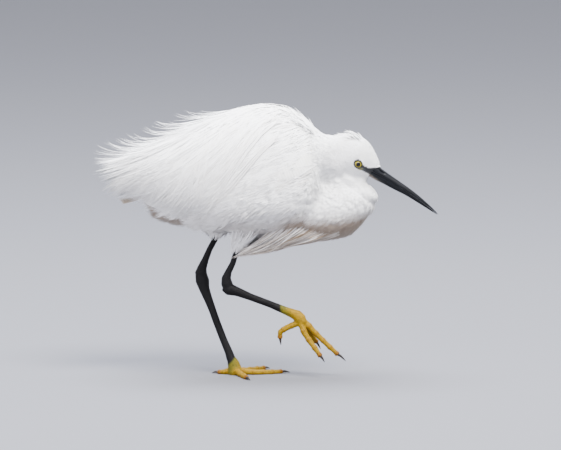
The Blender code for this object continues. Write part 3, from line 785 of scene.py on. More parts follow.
@dataclass(frozen=True)
class BareSkin(Finish):
    """Skin: pale under the down, bare and scaly on the lores, olive by the eye and slate to the bill."""

    name: str = "bird_skin"
    down: str = "F3F3F3"
    olive: str = "847F30"
    slate: str = "33373A"
    black: str = "0E0F12"
    grain: float = 0.9

    def make(self) -> Material:
        """Builds the material.

        Returns:
            The material.
        """
        made, tree, shader = self.start({"Roughness": 0.6})
        bare = add_node(tree, "ShaderNodeAttribute", {"attribute_name": "bare"}).outputs["Fac"]
        ahead = add_node(tree, "ShaderNodeAttribute", {"attribute_name": "ahead"}).outputs["Fac"]
        ramp = add_node(tree, "ShaderNodeValToRGB", inputs={"Fac": ahead})
        self.grade(ramp, ((0.3, self.olive), (0.85, self.black)), ((0.55, self.slate),))
        place = add_node(tree, "ShaderNodeTexCoord").outputs["Object"]
        scales = add_node(
            tree, "ShaderNodeTexVoronoi", inputs={"Scale": 1 / (self.grain * MM), "Vector": place})
        bump = add_node(
            tree, "ShaderNodeBump", inputs={"Strength": 0.4, "Distance": 0.2 * MM, "Height": scales})
        colour = add_node(
            tree, "ShaderNodeMix", {"data_type": "RGBA"}, {6: linear(self.down), 0: bare, 7: ramp})
        feed(shader, {"Base Color": colour.outputs[2], "Normal": bump})
        return made


@dataclass(frozen=True)
class BillHorn(Finish):
    """Bill sheath: blue-black horn, polished by use, with fine growth lines along it."""

    name: str = "bill_horn"
    black: str = "07080B"
    worn: str = "1A1D23"
    flesh: str = "6E6258"
    roughness: float = 0.35
    lines: float = 0.7

    def make(self) -> Material:
        """Builds the material.

        Returns:
            The material.
        """
        made, tree, shader = self.start({"Roughness": self.roughness, "Specular IOR Level": 0.22})
        place = add_node(tree, "ShaderNodeTexCoord").outputs["Object"]
        turned = add_node(
            tree, "ShaderNodeMapping", {"vector_type": "TEXTURE"},
            {"Rotation": (0, math.radians(-HEAD.pitch), 0), "Scale": (16, 1, 1), "Vector": place})
        lines = add_node(
            tree, "ShaderNodeTexNoise",
            inputs={"Scale": 1 / (self.lines * MM), "Detail": 3.0, "Vector": turned})
        worn = add_node(
            tree, "ShaderNodeMapRange",
            inputs={"From Min": 0.45, "From Max": 0.75, "To Max": 0.6, "Value": lines})
        colour = add_node(
            tree, "ShaderNodeMix", {"data_type": "RGBA"},
            {6: linear(self.black), 7: linear(self.worn), 0: worn})
        pale = add_node(tree, "ShaderNodeAttribute", {"attribute_name": "pale"}).outputs["Fac"]
        based = add_node(
            tree, "ShaderNodeMix", {"data_type": "RGBA"},
            {7: linear(self.flesh), 0: pale, 6: colour.outputs[2]})
        bump = add_node(
            tree, "ShaderNodeBump", inputs={"Strength": 0.25, "Distance": 0.1 * MM, "Height": lines})
        feed(shader, {"Base Color": based.outputs[2], "Normal": bump})
        return made


@dataclass(frozen=True)
class LegScales(Finish):
    """Leg skin: small hexagonal scales of keratin, black on the leg and yellow on the toes.

    The eye sees a half gloss that breaks up on the scales' rims.
    """

    name: str = "leg_scales"
    black: str = "0D0B0D"
    olive: str = "5E5C14"
    yellow: str = "957400"
    orange: str = "74400A"
    scale: float = 1.3
    mottle: float = 6.0
    roughness: float = 0.5

    def make(self) -> Material:
        """Builds the material.

        Returns:
            The material.
        """
        made, tree, shader = self.start({"Roughness": self.roughness, "Specular IOR Level": 0.15})
        place = add_node(tree, "ShaderNodeTexCoord").outputs["Object"]
        cells = add_node(
            tree, "ShaderNodeTexVoronoi", {"feature": "DISTANCE_TO_EDGE"},
            {"Scale": 1 / (self.scale * MM), "Randomness": 0.6, "Vector": place})
        rim = add_node(tree, "ShaderNodeMapRange", inputs={"From Max": 0.18, "Value": cells})
        yellow = add_node(tree, "ShaderNodeAttribute", {"attribute_name": "yellow"}).outputs["Fac"]
        mottle = add_node(
            tree, "ShaderNodeTexNoise",
            inputs={"Scale": 1 / (self.mottle * MM), "Detail": 4.0, "Vector": place})
        shifted = add_node(
            tree, "ShaderNodeMath", {"operation": "MULTIPLY_ADD"}, {1: 0.24, 0: mottle, 2: yellow})
        ramp = add_node(tree, "ShaderNodeValToRGB", inputs={"Fac": shifted})
        self.grade(ramp, ((0.3, self.black), (0.72, self.yellow)), ((0.5, self.olive),))
        joint = add_node(tree, "ShaderNodeAttribute", {"attribute_name": "joint"}).outputs["Fac"]
        warm = add_node(
            tree, "ShaderNodeMix", {"data_type": "RGBA"}, {7: linear(self.orange), 0: joint, 6: ramp})
        # painted shade: the colour darkens towards the grooves between the scales
        shade = add_node(tree, "ShaderNodeMapRange", inputs={"To Min": 0.45, "Value": rim})
        groove_shaded = add_node(
            tree, "ShaderNodeMix", {"data_type": "RGBA", "blend_type": "MULTIPLY"},
            {0: 1.0, 6: warm.outputs[2], 7: shade})
        bump = add_node(
            tree, "ShaderNodeBump", inputs={"Strength": 0.6, "Distance": 0.25 * MM, "Height": rim})
        feed(shader, {"Base Color": groove_shaded.outputs[2], "Normal": bump})
        return made


@dataclass(frozen=True)
class ClawHorn(Finish):
    """Claws: dark brown horn with a half gloss, streaked paler with wear."""

    name: str = "claw_horn"
    dark: str = "120D0A"
    worn: str = "2E241C"
    streak: float = 1.2

    def make(self) -> Material:
        """Builds the material.

        Returns:
            The material.
        """
        made, tree, shader = self.start({"Roughness": 0.35})
        place = add_node(tree, "ShaderNodeTexCoord").outputs["Object"]
        streaks = add_node(
            tree, "ShaderNodeTexNoise",
            inputs={"Scale": 1 / (self.streak * MM), "Detail": 2.0, "Vector": place})
        colour = add_node(
            tree, "ShaderNodeMix", {"data_type": "RGBA"},
            {6: linear(self.dark), 7: linear(self.worn), 0: streaks})
        bump = add_node(
            tree, "ShaderNodeBump", inputs={"Strength": 0.3, "Distance": 0.1 * MM, "Height": streaks})
        feed(shader, {"Base Color": colour.outputs[2], "Normal": bump})
        return made


@dataclass(frozen=True)
class EyeGloss(Finish):
    """Eye: a pale yellow iris round a black pupil behind a wet clear cornea."""

    name: str = "wet_eye"
    pupil: str = "08080A"
    iris: str = "938618"
    rim: str = "100E0B"
    pupil_radius: float = 2.45
    iris_radius: float = 3.7
    fleck: float = 0.7
    wobble: float = 0.35

    def make(self) -> Material:
        """Builds the material.

        Returns:
            The material.
        """
        made, tree, shader = self.start(
            {"Roughness": 0.12, "IOR": 1.38, "Specular IOR Level": 0.25, "Coat Weight": 0.3,
            "Coat Roughness": 0.02})
        place = add_node(tree, "ShaderNodeTexCoord").outputs["Object"]
        centred = add_node(
            tree, "ShaderNodeMapping",
            inputs={"Location": tuple(-c * MM for c in HEAD.eye), "Vector": place})
        flat = add_node(
            tree, "ShaderNodeVectorMath", {"operation": "MULTIPLY"}, {1: (1 / MM, 0, 1 / MM), 0: centred})
        reach = add_node(tree, "ShaderNodeVectorMath", {"operation": "LENGTH"}, {0: flat})
        flecks = add_node(
            tree, "ShaderNodeTexNoise",
            inputs={"Scale": 1 / (self.fleck * MM), "Detail": 3.0, "Vector": place})
        wavy = add_node(
            tree, "ShaderNodeMath", {"operation": "MULTIPLY_ADD"},
            {1: self.wobble, 0: flecks, 2: reach.outputs["Value"]})
        whole = self.iris_radius + 1
        share = add_node(tree, "ShaderNodeMath", {"operation": "DIVIDE"}, {1: whole, 0: wavy})
        ramp = add_node(tree, "ShaderNodeValToRGB", inputs={"Fac": share})
        edge, outer = ((r + 0.17) / whole for r in (self.pupil_radius, self.iris_radius))
        self.grade(
            ramp, ((edge - 0.03, self.pupil), (outer + 0.03, self.rim)),
            ((edge + 0.02, self.iris), (outer - 0.06, self.iris)))
        feed(shader, {"Base Color": ramp})
        return made


@dataclass(frozen=True)
class StudioPaper(Finish):
    """Matt seamless paper of the studio floor, pale lilac grey."""

    name: str = "studio_paper"
    pale: str = "67686E"
    fibre: float = 900.0

    def make(self) -> Material:
        """Builds the material.

        Returns:
            The material.
        """
        made, tree, shader = self.start({"Base Color": linear(self.pale), "Roughness": 0.95})
        place = add_node(tree, "ShaderNodeTexCoord").outputs["Object"]
        fibres = add_node(
            tree, "ShaderNodeTexNoise", inputs={"Scale": self.fibre, "Detail": 2.0, "Vector": place})
        bump = add_node(
            tree, "ShaderNodeBump", inputs={"Strength": 0.05, "Distance": 0.1 * MM, "Height": fibres})
        feed(shader, {"Normal": bump})
        return made


class Region(Enum):
    """Tracts of feathers on the skin."""

    HEAD_LEFT = "head_left"
    HEAD_RIGHT = "head_right"
    NECK = "neck"
    BREAST = "breast"
    BELLY = "belly"
    FLANK_LEFT = "flank_left"
    FLANK_RIGHT = "flank_right"
    RUMP = "rump"
    THIGHS = "thighs"


@dataclass
class Skin:
    """One skin over the trunk, neck, head and thighs, inside the solids by the coat's depth."""

    nodes: tuple[str, ...] = ("torso", "neck", "head", "thigh_left", "thigh_right")
    breast: Rows = (
        (66, 184, 27, 29, 42), (72, 184, 30, 32, 45), (88, 183, 33, 34.5, 46), (104, 183, 34, 35, 43),
        (120, 184, 32.5, 33, 38), (134, 188, 28.3, 32, 33.5), (146, 192.5, 21.7, 26, 27),
        (154, 195.5, 14.5, 19, 20), (160, 195, 8, 12, 12.5), (163, 194, 1, 2, 2))
    grow: float = 0.8
    voxel: float = 1.7
    coat: float = 4.2
    face: float = 1.0
    socket: float = 15.2
    socket_reach: float = 8.5
    rounds: int = 26
    lie_rounds: int = 14
    wing_span: tuple[float, float] = (-86.0, 78.0)
    head_bounds: Point = (-33.0, -23.5, 104.0)
    neck_bounds: tuple[float, float] = (84.0, 214.0)
    thigh_bounds: Point = (158.0, 30.0, 8.0)
    rump_front: float = -46.0
    flank_out: float = 30.0
    throat: tuple[tuple[Point, Point], ...] = (((122, 0, 213), (23, 19, 13)), ((131, 0, 217), (19, 13, 10)))
    lore_top: Rows = ((0, 4.2), (6.1, 2.9), (13.4, 4.0), (16.6, 7.0), (23.6, 9.4), (30, 10))
    lore_foot: Rows = ((-2.4, -5.4), (4.3, -5.6), (8.2, -3.9), (14.6, -3.4), (19.2, -4.2), (30, -5))
    obj: Object | None = None

    def build(self) -> Object:
        """Makes the skin with the lie, length and tract of its feathers on every vertex.

        Returns:
            The skin's object.
        """
        place = np.linspace(self.breast[0][0], self.breast[-1][0], 40)
        middle, above, below, half = (column[:, None] for column in table_at(self.breast, place).T)
        turn = circle(48)[None, :]
        rise = middle + np.where(np.sin(turn) > 0, above, below) * np.sin(turn)
        rings = np.stack([np.broadcast_to(place[:, None], rise.shape), half * np.cos(turn), rise], axis=-1)
        form = tubes("breast_form", rings[None, :, ::-1])
        self.obj = joined_nodes("skin", self.nodes, self.grow, self.voxel, self.throat, form)
        mesh = self.obj.data
        points = places_of(mesh)
        place, height = HEAD.coordinates(points)
        facing = ease(-26, -4, place) * ease(-23, -17, height)
        weight = (0.6 - 0.5 * facing)[:, None]
        for _ in range(self.rounds):
            points += (neighbours_mean(mesh, points) - points) * weight
        move_points(mesh, points)
        bare = self.bareness(points)
        depth = self.coat + (self.face - self.coat) * facing
        for top in (THIGH_LEFT[1][2][0], THIGH_RIGHT[1][2][0]):
            near = ease(20, 9, np.linalg.norm(points - np.array(top), axis=1))
            depth = depth + (0.3 - depth) * near
        depth = depth * (1 - bare) + self.grow
        points -= normals_of(mesh) * depth[:, None]
        from_eye = np.hypot(place, height)
        socket = self.socket + 3.2 * ease(4.6, self.socket_reach, from_eye)
        near_eye = (from_eye < self.socket_reach) & (np.abs(points[:, 1]) > socket)
        points[near_eye, 1] = (np.sign(points[:, 1]) * socket)[near_eye]
        move_points(mesh, points)
        normals = normals_of(mesh)
        set_numbers(mesh, "bare", bare)
        brow = 0.7 * ease(-0.5, 1.5, height) + 0.7 * ease(-1, -4, place)
        set_numbers(mesh, "ahead", np.clip(place / 15 + brow, 0, 1))
        self.comb(mesh, points, normals, bare)
        mesh.shade_smooth()
        return self.obj

    def bareness(self, points: Array) -> Array:
        """Tells where the lores are bare: from the eye to the bill.

        Args:
            points: Places in millimetres.

        Returns:
            1 on bare skin, 0 under feathers.
        """
        place, height = HEAD.coordinates(points)
        upper = np.interp(place, *np.array(self.lore_top).T)
        lower = np.interp(place, *np.array(self.lore_foot).T)
        lore = ease(0, 2.5, place) * ease(30, 26, place)
        lore = lore * ease(0.5, -0.5, height - upper) * ease(-0.5, 0.5, height - lower)
        return np.maximum(lore, ease(5.5, 4.9, np.hypot(place, height)))

    def tracts(self, points: Array) -> dict[Region, Array]:
        """Tells which vertices belong to each tract.

        Args:
            points: Places in millimetres.

        Returns:
            A mask for each tract.
        """
        x, y, z = points.T
        place, height = HEAD.coordinates(points)
        back, foot, rear = self.head_bounds
        head = (place > back) & (height > foot) & (x > rear)
        rear, foot = self.neck_bounds
        neck = (x > rear) & (z > foot) & ~head
        breast = (x > rear) & ~head & ~neck
        top, fore, inner = self.thigh_bounds
        thighs = (z < top) & (x < fore) & (np.abs(y) > inner) & ~breast
        rump = (x < self.rump_front) & ~thighs
        flank = np.abs(y) > self.flank_out
        flank &= (z < CLOAK.edge_height(x) + 10) & ~(thighs | breast | neck | head | rump)
        masks = {
            Region.FLANK_LEFT: flank & (y > 0), Region.FLANK_RIGHT: flank & (y <= 0), Region.RUMP: rump,
            Region.THIGHS: thighs, Region.BREAST: breast, Region.NECK: neck,
            Region.HEAD_LEFT: head & (y > 0), Region.HEAD_RIGHT: head & (y <= 0)}
        found = np.full(len(x), Region.BELLY.value, dtype="U12")
        for region, mask in masks.items():
            found[mask] = region.value
        return {region: found == region.value for region in Region}

    def comb(self, mesh: Mesh, points: Array, normals: Array, bare: Array) -> None:
        """Stores the lie, length, stain with painted shade, and cover of the feathers.

        Args:
            mesh: The skin's mesh.
            points: Its places in millimetres.
            normals: Its vertex normals.
            bare: Where the skin is bare.
        """
        x, _, z = points.T
        place, height = HEAD.coordinates(points)
        at = self.tracts(points)
        lie = np.tile([-1.0, 0.0, -0.42], (len(points), 1))
        length = np.full(len(points), 12.0)
        lie[:, 2] = -0.42 + 0.4 * ease(172, 152, z)
        head = at[Region.HEAD_LEFT] | at[Region.HEAD_RIGHT]
        lie[head] = -HEAD.along() + np.array([0, 0, -0.12])
        lie[head & (height < -2)] = [-0.96, 0, 0.1]
        length[head] = (2.6 + 4.6 * ease(2, -28, place))[head]
        neck = at[Region.NECK]
        lie[neck] = [-1.0, 0, 0.12]
        lie[neck & (z < 245)] = [-0.85, 0, -0.5]
        length[neck] = (8 + 2 * ease(108, 92, x))[neck]
        front = at[Region.BREAST]
        upper = (ease(184, 206, z) * ease(112, 138, x))[:, None]
        hang = np.array([-0.8, 0, -0.6]) * (1 - upper) + np.array([0.45, 0, -0.9]) * upper
        lie[front] = hang[front]
        length[front] = (8.5 + 4 * ease(185, 155, z) + 1.5 * ease(104, 90, x))[front]
        for region, way, size in (
                (Region.THIGHS, [-0.35, 0, -1.0], 7.0), (Region.RUMP, [-1.0, 0, -0.1], 17.0)):
            lie[at[region]] = way
            length[at[region]] = size
        for _ in range(self.lie_rounds):
            lie += (neighbours_mean(mesh, lie) - lie) * 0.7
            length += (neighbours_mean(mesh, length) - length) * 0.5
        near_bare = bare.copy()
        for _ in range(3):
            near_bare = np.maximum(near_bare, neighbours_mean(mesh, near_bare))
        set_lie(mesh, lie, normals)
        set_numbers(mesh, "length", length * MM * (1 - 0.45 * near_bare))
        # painted shade and bounce light: the coat turns warm beige where the skin faces down, under the tail
        # and on the lower breast, with some real mud stain
        under = ease(0.15, -0.75, normals[:, 2]) * ease(205, 165, z)
        under = under * np.where(at[Region.THIGHS], 0.4, 0.5 + 0.4 * ease(50, 80, x))
        rear = ease(-35, -55, x) * ease(200, 184, z)
        chest = ease(200, 158, z) * ease(45, 80, x)
        set_numbers(mesh, "stain", np.clip(under + 0.85 * rear + 0.6 * chest, 0, 0.9))
        covered = (x > self.wing_span[0]) & (x < self.wing_span[1]) & (z > CLOAK.edge_height(x) + 9)
        eye_gap = ease(4.4, 5.2, np.hypot(place, height)) * (1 - bare)
        on_bill = np.maximum(ease(21, 18, place), ease(-9, -12, height))
        open_skin = np.where(covered, 0.0, eye_gap) * on_bill
        for region in Region:
            set_numbers(mesh, f"cover_{region.value}", np.where(at[region], open_skin, 0.0))


@dataclass
class TuftShape:
    """A small feather of a few strands from one root, one unit long, in several kinds."""

    kinds: int = 6
    strands: int = 5
    width: float = 0.085
    spread: float = 0.24
    stations: tuple[float, ...] = (0.0, 0.55, 1.0)
    widths: tuple[float, ...] = (0.8, 1.0, 0.0)

    def build(self, name: str, seed: int) -> Collection:
        """Makes the kinds in a collection that the scene doesn't show.

        Args:
            name: Name of the collection.
            seed: Seed of the kinds' differences.

        Returns:
            The collection.
        """
        draw = np.random.default_rng(seed)
        group = bpy.data.collections.new(name)
        share = np.array(self.stations)
        for kind in range(self.kinds):
            fan = np.linspace(-1, 1, self.strands) + draw.uniform(-0.25, 0.25, self.strands)
            reach = 1 - 0.22 * np.abs(fan) + draw.uniform(-0.08, 0.08, self.strands)
            x = -0.12 + np.outer(reach + 0.12, share)
            y = np.outer(fan * self.spread, share**1.2)
            y += np.outer(draw.uniform(-0.04, 0.04, self.strands), share**2)
            z = -0.05 + np.outer(draw.uniform(0.08, 0.16, self.strands), np.sin(share * 2.4))
            paths = np.stack([x, y, z], axis=-1) / MM
            outs = np.zeros_like(paths)
            outs[..., 2] = 1
            widths = np.tile(np.array(self.widths) * self.width / MM, (self.strands, 1))
            made = strands(f"{name}_{kind}", paths, outs, widths, 0.28, 0.0)
            bpy.context.scene.collection.objects.unlink(made)
            group.objects.link(made)
        return group


@dataclass
class CoatTree:
    """The node tree that sows tufts on a skin and combs them along its lie."""

    name: str = "coat"
    tree: NodeTree | None = None
    sockets: dict[str, str] = field(default_factory=dict)

    def build(self) -> None:
        """Builds the tree once, with named inputs for its sizes."""
        tree = bpy.data.node_groups.new(self.name, "GeometryNodeTree")
        inputs = {
            "Geometry": "Geometry", "Tufts": "Collection", "Cover": "String", "Density": "Float",
            "Spacing": "Float", "Lift": "Float", "Length Factor": "Float", "Width Factor": "Float",
            "Seed": "Int", "Material": "Material"}
        for label, kind in inputs.items():
            socket = tree.interface.new_socket(label, in_out="INPUT", socket_type=f"NodeSocket{kind}")
            self.sockets[label] = socket.identifier
        tree.interface.new_socket("Geometry", in_out="OUTPUT", socket_type="NodeSocketGeometry")
        given = add_node(tree, "NodeGroupInput").outputs
        cover = add_node(
            tree, "GeometryNodeInputNamedAttribute", {"data_type": "FLOAT"}, {"Name": given["Cover"]})
        sown = add_node(
            tree, "GeometryNodeDistributePointsOnFaces", {"distribute_method": "POISSON"},
            {"Mesh": given["Geometry"], "Distance Min": given["Spacing"], "Density Max": given["Density"],
            "Density Factor": cover, "Seed": given["Seed"]})
        lie = add_node(
            tree, "GeometryNodeInputNamedAttribute", {"data_type": "FLOAT_VECTOR"}, {"Name": "lie"})
        length = add_node(
            tree, "GeometryNodeInputNamedAttribute", {"data_type": "FLOAT"}, {"Name": "length"})
        axes = add_node(
            tree, "FunctionNodeAxesToRotation", {"primary_axis": "Z", "secondary_axis": "X"},
            {0: sown.outputs["Normal"], 1: lie})
        turns = add_node(
            tree, "FunctionNodeRandomValue", {"data_type": "FLOAT_VECTOR"},
            {0: (-0.14, -0.1, -0.13), 1: (0.14, 0.1, 0.13), "Seed": given["Seed"]})
        raised = add_node(tree, "ShaderNodeCombineXYZ", inputs={1: given["Lift"]})
        swing = add_node(
            tree, "ShaderNodeVectorMath", {"operation": "MULTIPLY_ADD"},
            {1: (1.0, 1.0, 1.0), 0: turns, 2: raised})
        euler = add_node(tree, "FunctionNodeEulerToRotation", inputs={0: swing})
        rotation = add_node(
            tree, "FunctionNodeRotateRotation", {"rotation_space": "LOCAL"}, {0: axes, 1: euler})
        vary = add_node(
            tree, "FunctionNodeRandomValue", {"data_type": "FLOAT"},
            {2: 0.72, 3: 1.25, "Seed": given["Seed"]})
        scaled = add_node(
            tree, "ShaderNodeMath", {"operation": "MULTIPLY"}, {0: length, 1: vary.outputs[1]})
        long = add_node(
            tree, "ShaderNodeMath", {"operation": "MULTIPLY"}, {0: scaled, 1: given["Length Factor"]})
        wide = add_node(
            tree, "ShaderNodeMath", {"operation": "MULTIPLY"}, {0: scaled, 1: given["Width Factor"]})
        size = add_node(tree, "ShaderNodeCombineXYZ", inputs={0: long, 1: wide, 2: wide})
        kinds = add_node(
            tree, "GeometryNodeCollectionInfo",
            inputs={"Separate Children": True, "Reset Children": True, "Collection": given["Tufts"]})
        pick = add_node(
            tree, "FunctionNodeRandomValue", {"data_type": "INT"}, {4: 0, 5: 99, "Seed": given["Seed"]})
        placed = add_node(
            tree, "GeometryNodeInstanceOnPoints",
            inputs={"Pick Instance": True, "Points": sown.outputs["Points"], "Instance": kinds,
            "Instance Index": pick.outputs[2], "Rotation": rotation, "Scale": size})
        where = add_node(tree, "GeometryNodeInputPosition")
        rooted = add_node(
            tree, "GeometryNodeStoreNamedAttribute", {"data_type": "FLOAT_VECTOR", "domain": "INSTANCE"},
            {"Name": "root", "Geometry": placed, "Value": where})
        upward = add_node(
            tree, "GeometryNodeStoreNamedAttribute", {"data_type": "FLOAT_VECTOR", "domain": "INSTANCE"},
            {"Name": "up", "Geometry": rooted, "Value": sown.outputs["Normal"]})
        real = add_node(tree, "GeometryNodeRealizeInstances", inputs={0: upward})
        dressed = add_node(
            tree, "GeometryNodeSetMaterial", inputs={"Geometry": real, "Material": given["Material"]})
        add_node(tree, "NodeGroupOutput", inputs={0: dressed})
        self.tree = tree

    def sow(
            self, name: str, ground: Object, tufts: Collection, cover: str, per_cm2: float, lift: float,
            finish: Material, stretch: float = 1.0, broaden: float = 1.0) -> Object:
        """Sows tufts on part of a surface and makes them one plain mesh.

        Args:
            name: Name of the new piece.
            ground: The surface, with its lie, length, stain with painted shade, and cover.
            tufts: Kinds of tuft.
            cover: Name of the attribute that says where they grow.
            per_cm2: Tufts on a square centimetre.
            lift: Degrees that a tuft stands off the surface.
            finish: Material of the tufts.
            stretch: Factor on the length.
            broaden: Factor on the width.

        Returns:
            The piece, with its maps.
        """
        obj = link(bpy.data.objects.new(name, ground.data))
        step = obj.modifiers.new("coat", "NODES")
        step.node_group = self.tree
        density = per_cm2 * 1e4
        values = {
            "Tufts": tufts, "Cover": cover, "Density": density * 1.7, "Spacing": 0.62 / math.sqrt(density),
            "Lift": -math.radians(lift), "Length Factor": stretch, "Width Factor": broaden, "Seed": SEED,
            "Material": finish}
        for label, value in values.items():
            step[self.sockets[label]] = value
        made = plain_mesh(obj).data
        ups = stored(made, "up")
        self.map_roots(made)
        made.shade_smooth()
        soften(made, ups)
        return obj

    def map_roots(self, mesh: Mesh) -> None:
        """Writes the bake map from each tuft's root and drops what only the tree needed.

        Args:
            mesh: A realized coat.
        """
        local = read_rows(mesh.uv_layers[VANE_MAP].data, "uv", 2)
        roots = unwrap(stored(mesh, "root"))[corners_of(mesh)]
        set_map(mesh, BAKE_MAP, roots + (local - 0.5) * BAKE_PATCH)
        spare = [
            a.name for a in mesh.attributes if a.name.startswith("cover_") or a.name in SPARE_ATTRIBUTES]
        for label in spare:
            mesh.attributes.remove(mesh.attributes[label])


@dataclass
class Coat:
    """The small feathers over the skin.

    Each tract has its tufts on a square centimetre and their lift in degrees.
    """

    tracts: tuple[tuple[Region, float, float], ...] = (
        (Region.HEAD_LEFT, 66, 14), (Region.HEAD_RIGHT, 66, 14), (Region.NECK, 38, 12),
        (Region.BREAST, 36, 11), (Region.BELLY, 12, 14), (Region.FLANK_LEFT, 12, 12),
        (Region.FLANK_RIGHT, 12, 12), (Region.RUMP, 26, 19), (Region.THIGHS, 50, 12))

    def build(self, skin: Skin, trees: CoatTree, finish: Material) -> None:
        """Sows every tract.

        Args:
            skin: The finished skin.
            trees: The node tree.
            finish: Material of the down.
        """
        tufts = TuftShape().build("tufts", SEED)
        for region, per_cm2, lift in self.tracts:
            word = region.value
            piece = trees.sow(f"coat_{word}", skin.obj, tufts, f"cover_{word}", per_cm2, lift, finish)
            fit(piece, finish)


@dataclass
class WingFolded:
    """A folded wing: its plate, tiers of vanes and the soft coverts that lie over them."""

    side: int
    front: float = 88.0
    back: float = -78.0
    top_angle: float = 24.0
    plate_depth: float = 4.0
    inner_depth: float = 7.4
    grid: tuple[int, int] = (70, 26)
    vane_thick: float = 0.5
    vane_camber: float = 0.12
    tiers: Rows = ((10, -8, -74, -96, 2.6), (11, 34, -34, -50, 2.4))
    outline: Rows = (
        (0, 0.5), (0.15, 0.8), (0.4, 1.0), (0.7, 0.95), (0.88, 0.72), (0.96, 0.42), (1.0, 0.12))

    def plate(self) -> Object:
        """Makes the smooth plate under the feathers, with the lie of its coverts.

        Returns:
            The plate's object.
        """
        x = np.linspace(self.front, self.back, self.grid[0])[:, None]
        share = np.linspace(0, 1, self.grid[1])[None, :]
        angle = self.top_angle + (CLOAK.edge_angle(x) - 2 - self.top_angle) * share
        depth = self.plate_depth + (1.6 - self.plate_depth) * ease(30, 60, x)
        rim = 1.2 * (ease(0.06, 0.0, share) + ease(0.94, 1.0, share)) + 2.4 * ease(79, 88, x)
        outer = CLOAK.point(x, angle, depth + rim, self.side)
        inner = CLOAK.point(x, angle, self.inner_depth - rim * 0.5, self.side)
        ring = np.concatenate([outer, inner[:, ::-1]], axis=1)
        if self.side > 0:
            ring = ring[:, ::-1]
        obj = tubes(f"wing_{side_word(self.side)}", ring[None])
        mesh = obj.data
        points, normals = places_of(mesh), normals_of(mesh)
        set_lie(mesh, np.tile([-1.0, 0.0, -0.5], (len(points), 1)), normals)
        set_numbers(mesh, "length", np.full(len(points), 15 * MM))
        outward = CLOAK.out(points[:, 0], 80.0, self.side)
        inside = (points[:, 0] > self.back + 8) & (points[:, 0] < self.front - 3)
        set_numbers(mesh, "cover", ((np.sum(outward * normals, axis=1) > 0.45) & inside).astype(float))
        # painted shade: the coverts turn warm beige towards the wing's lower edge
        set_numbers(mesh, "stain", 0.18 * ease(215, 185, points[:, 2]))
        return obj

    def feathers(self) -> Object:
        """Makes the tiers of vanes.

        Returns:
            One object with every vane.
        """
        draw = np.random.default_rng(SEED + 3)
        shape = np.array(self.outline)
        stations = np.linspace(0, 1, 12)
        widths_at = np.interp(stations, shape[:, 0], shape[:, 1])
        paths, outs, widths = [], [], []
        for count, root, tip_high, tip_low, tip_depth in self.tiers:
            share = (np.arange(count) + 0.5)[:, None] / count
            start = root + draw.uniform(-3, 3, (count, 1))
            tip = tip_high + (tip_low - tip_high) * share + draw.uniform(-3, 3, (count, 1))
            x = start + (tip - start) * stations
            angle = self.top_angle + 5 + (CLOAK.edge_angle(x) - 2 - self.top_angle - 5) * share
            depth = self.plate_depth + 0.6 + (tip_depth - self.plate_depth - 0.6) * stations**0.8
            paths.append(CLOAK.point(x, angle, depth, self.side))
            outs.append(CLOAK.out(x, angle, self.side))
            middle = (start + tip) / 2
            high = CLOAK.point(middle, self.top_angle, 0, self.side)
            low = CLOAK.point(middle, CLOAK.edge_angle(middle), 0, self.side)
            reach = np.linalg.norm(high - low, axis=-1) * 1.12 / count * 1.6
            widths.append(reach * widths_at)
        sheets = (np.concatenate(a) for a in (paths, outs, widths))
        return vanes(f"wing_vanes_{side_word(self.side)}", *sheets, self.vane_thick, self.vane_camber)

    def build(self, trees: CoatTree, tufts: Collection, down: Material, vane: Material) -> None:
        """Makes and dresses the wing.

        Args:
            trees: The node tree of the coat.
            tufts: Kinds of covert.
            down: Material of the coverts.
            vane: Material of the vanes.
        """
        word = side_word(self.side)
        plate = self.plate()
        coverts = trees.sow(f"coverts_{word}", plate, tufts, "cover", 10, 9, down, 1.4, 1.1)
        fit(plate, vane, (f"wing_{word}",))
        fit(self.feathers(), vane)
        fit(coverts, down)


@dataclass
class Bundles:
    """Loose feathers, each drawn as a bundle of hair-fine strands."""

    side: int = 1
    feathers: int = 100
    strands_each: int = 6
    stations: int = 8

    def each(self, values: Array) -> Array:
        """Repeats the values of every feather for its strands."""
        return np.repeat(values, self.strands_each, axis=0)

    def along(self) -> Array:
        """Gives the stations of a strand, 0 at its root and 1 at its tip."""
        return np.linspace(0, 1, self.stations)[None, :]

    def draws(self, seed: int) -> tuple[np.random.Generator, partial, partial]:
        """Starts the random draws.

        Args:
            seed: What is added to the bird's seed.

        Returns:
            The generator, and its even draws of one number for each feather and for each strand.
        """
        draw = np.random.default_rng(SEED + seed)
        total = self.feathers * self.strands_each
        return draw, partial(draw.uniform, size=(self.feathers, 1)), partial(draw.uniform, size=(total, 1))

    def fan(self, for_strand: partial, uneven: float) -> Array:
        """Gives the place of each strand across its feather, from -1 to 1, with uneven gaps."""
        even = np.tile(np.linspace(-1, 1, self.strands_each), self.feathers)[:, None]
        return even + for_strand(-uneven, uneven)

    def taper(self, widest: float, broad: float = 0.15, late: float = 0.5) -> Array:
        """Gives the width along a strand.

        Args:
            widest: Width where it is broadest, in millimetres.
            broad: Where that is, from 0 to 1.
            late: Share of the width that is left near the tip.

        Returns:
            Widths at the stations.
        """
        return widest * np.interp(self.along(), [0, broad, 0.5, 0.85, 1.0], [0.6, 1.0, 0.9, late, 0.12])


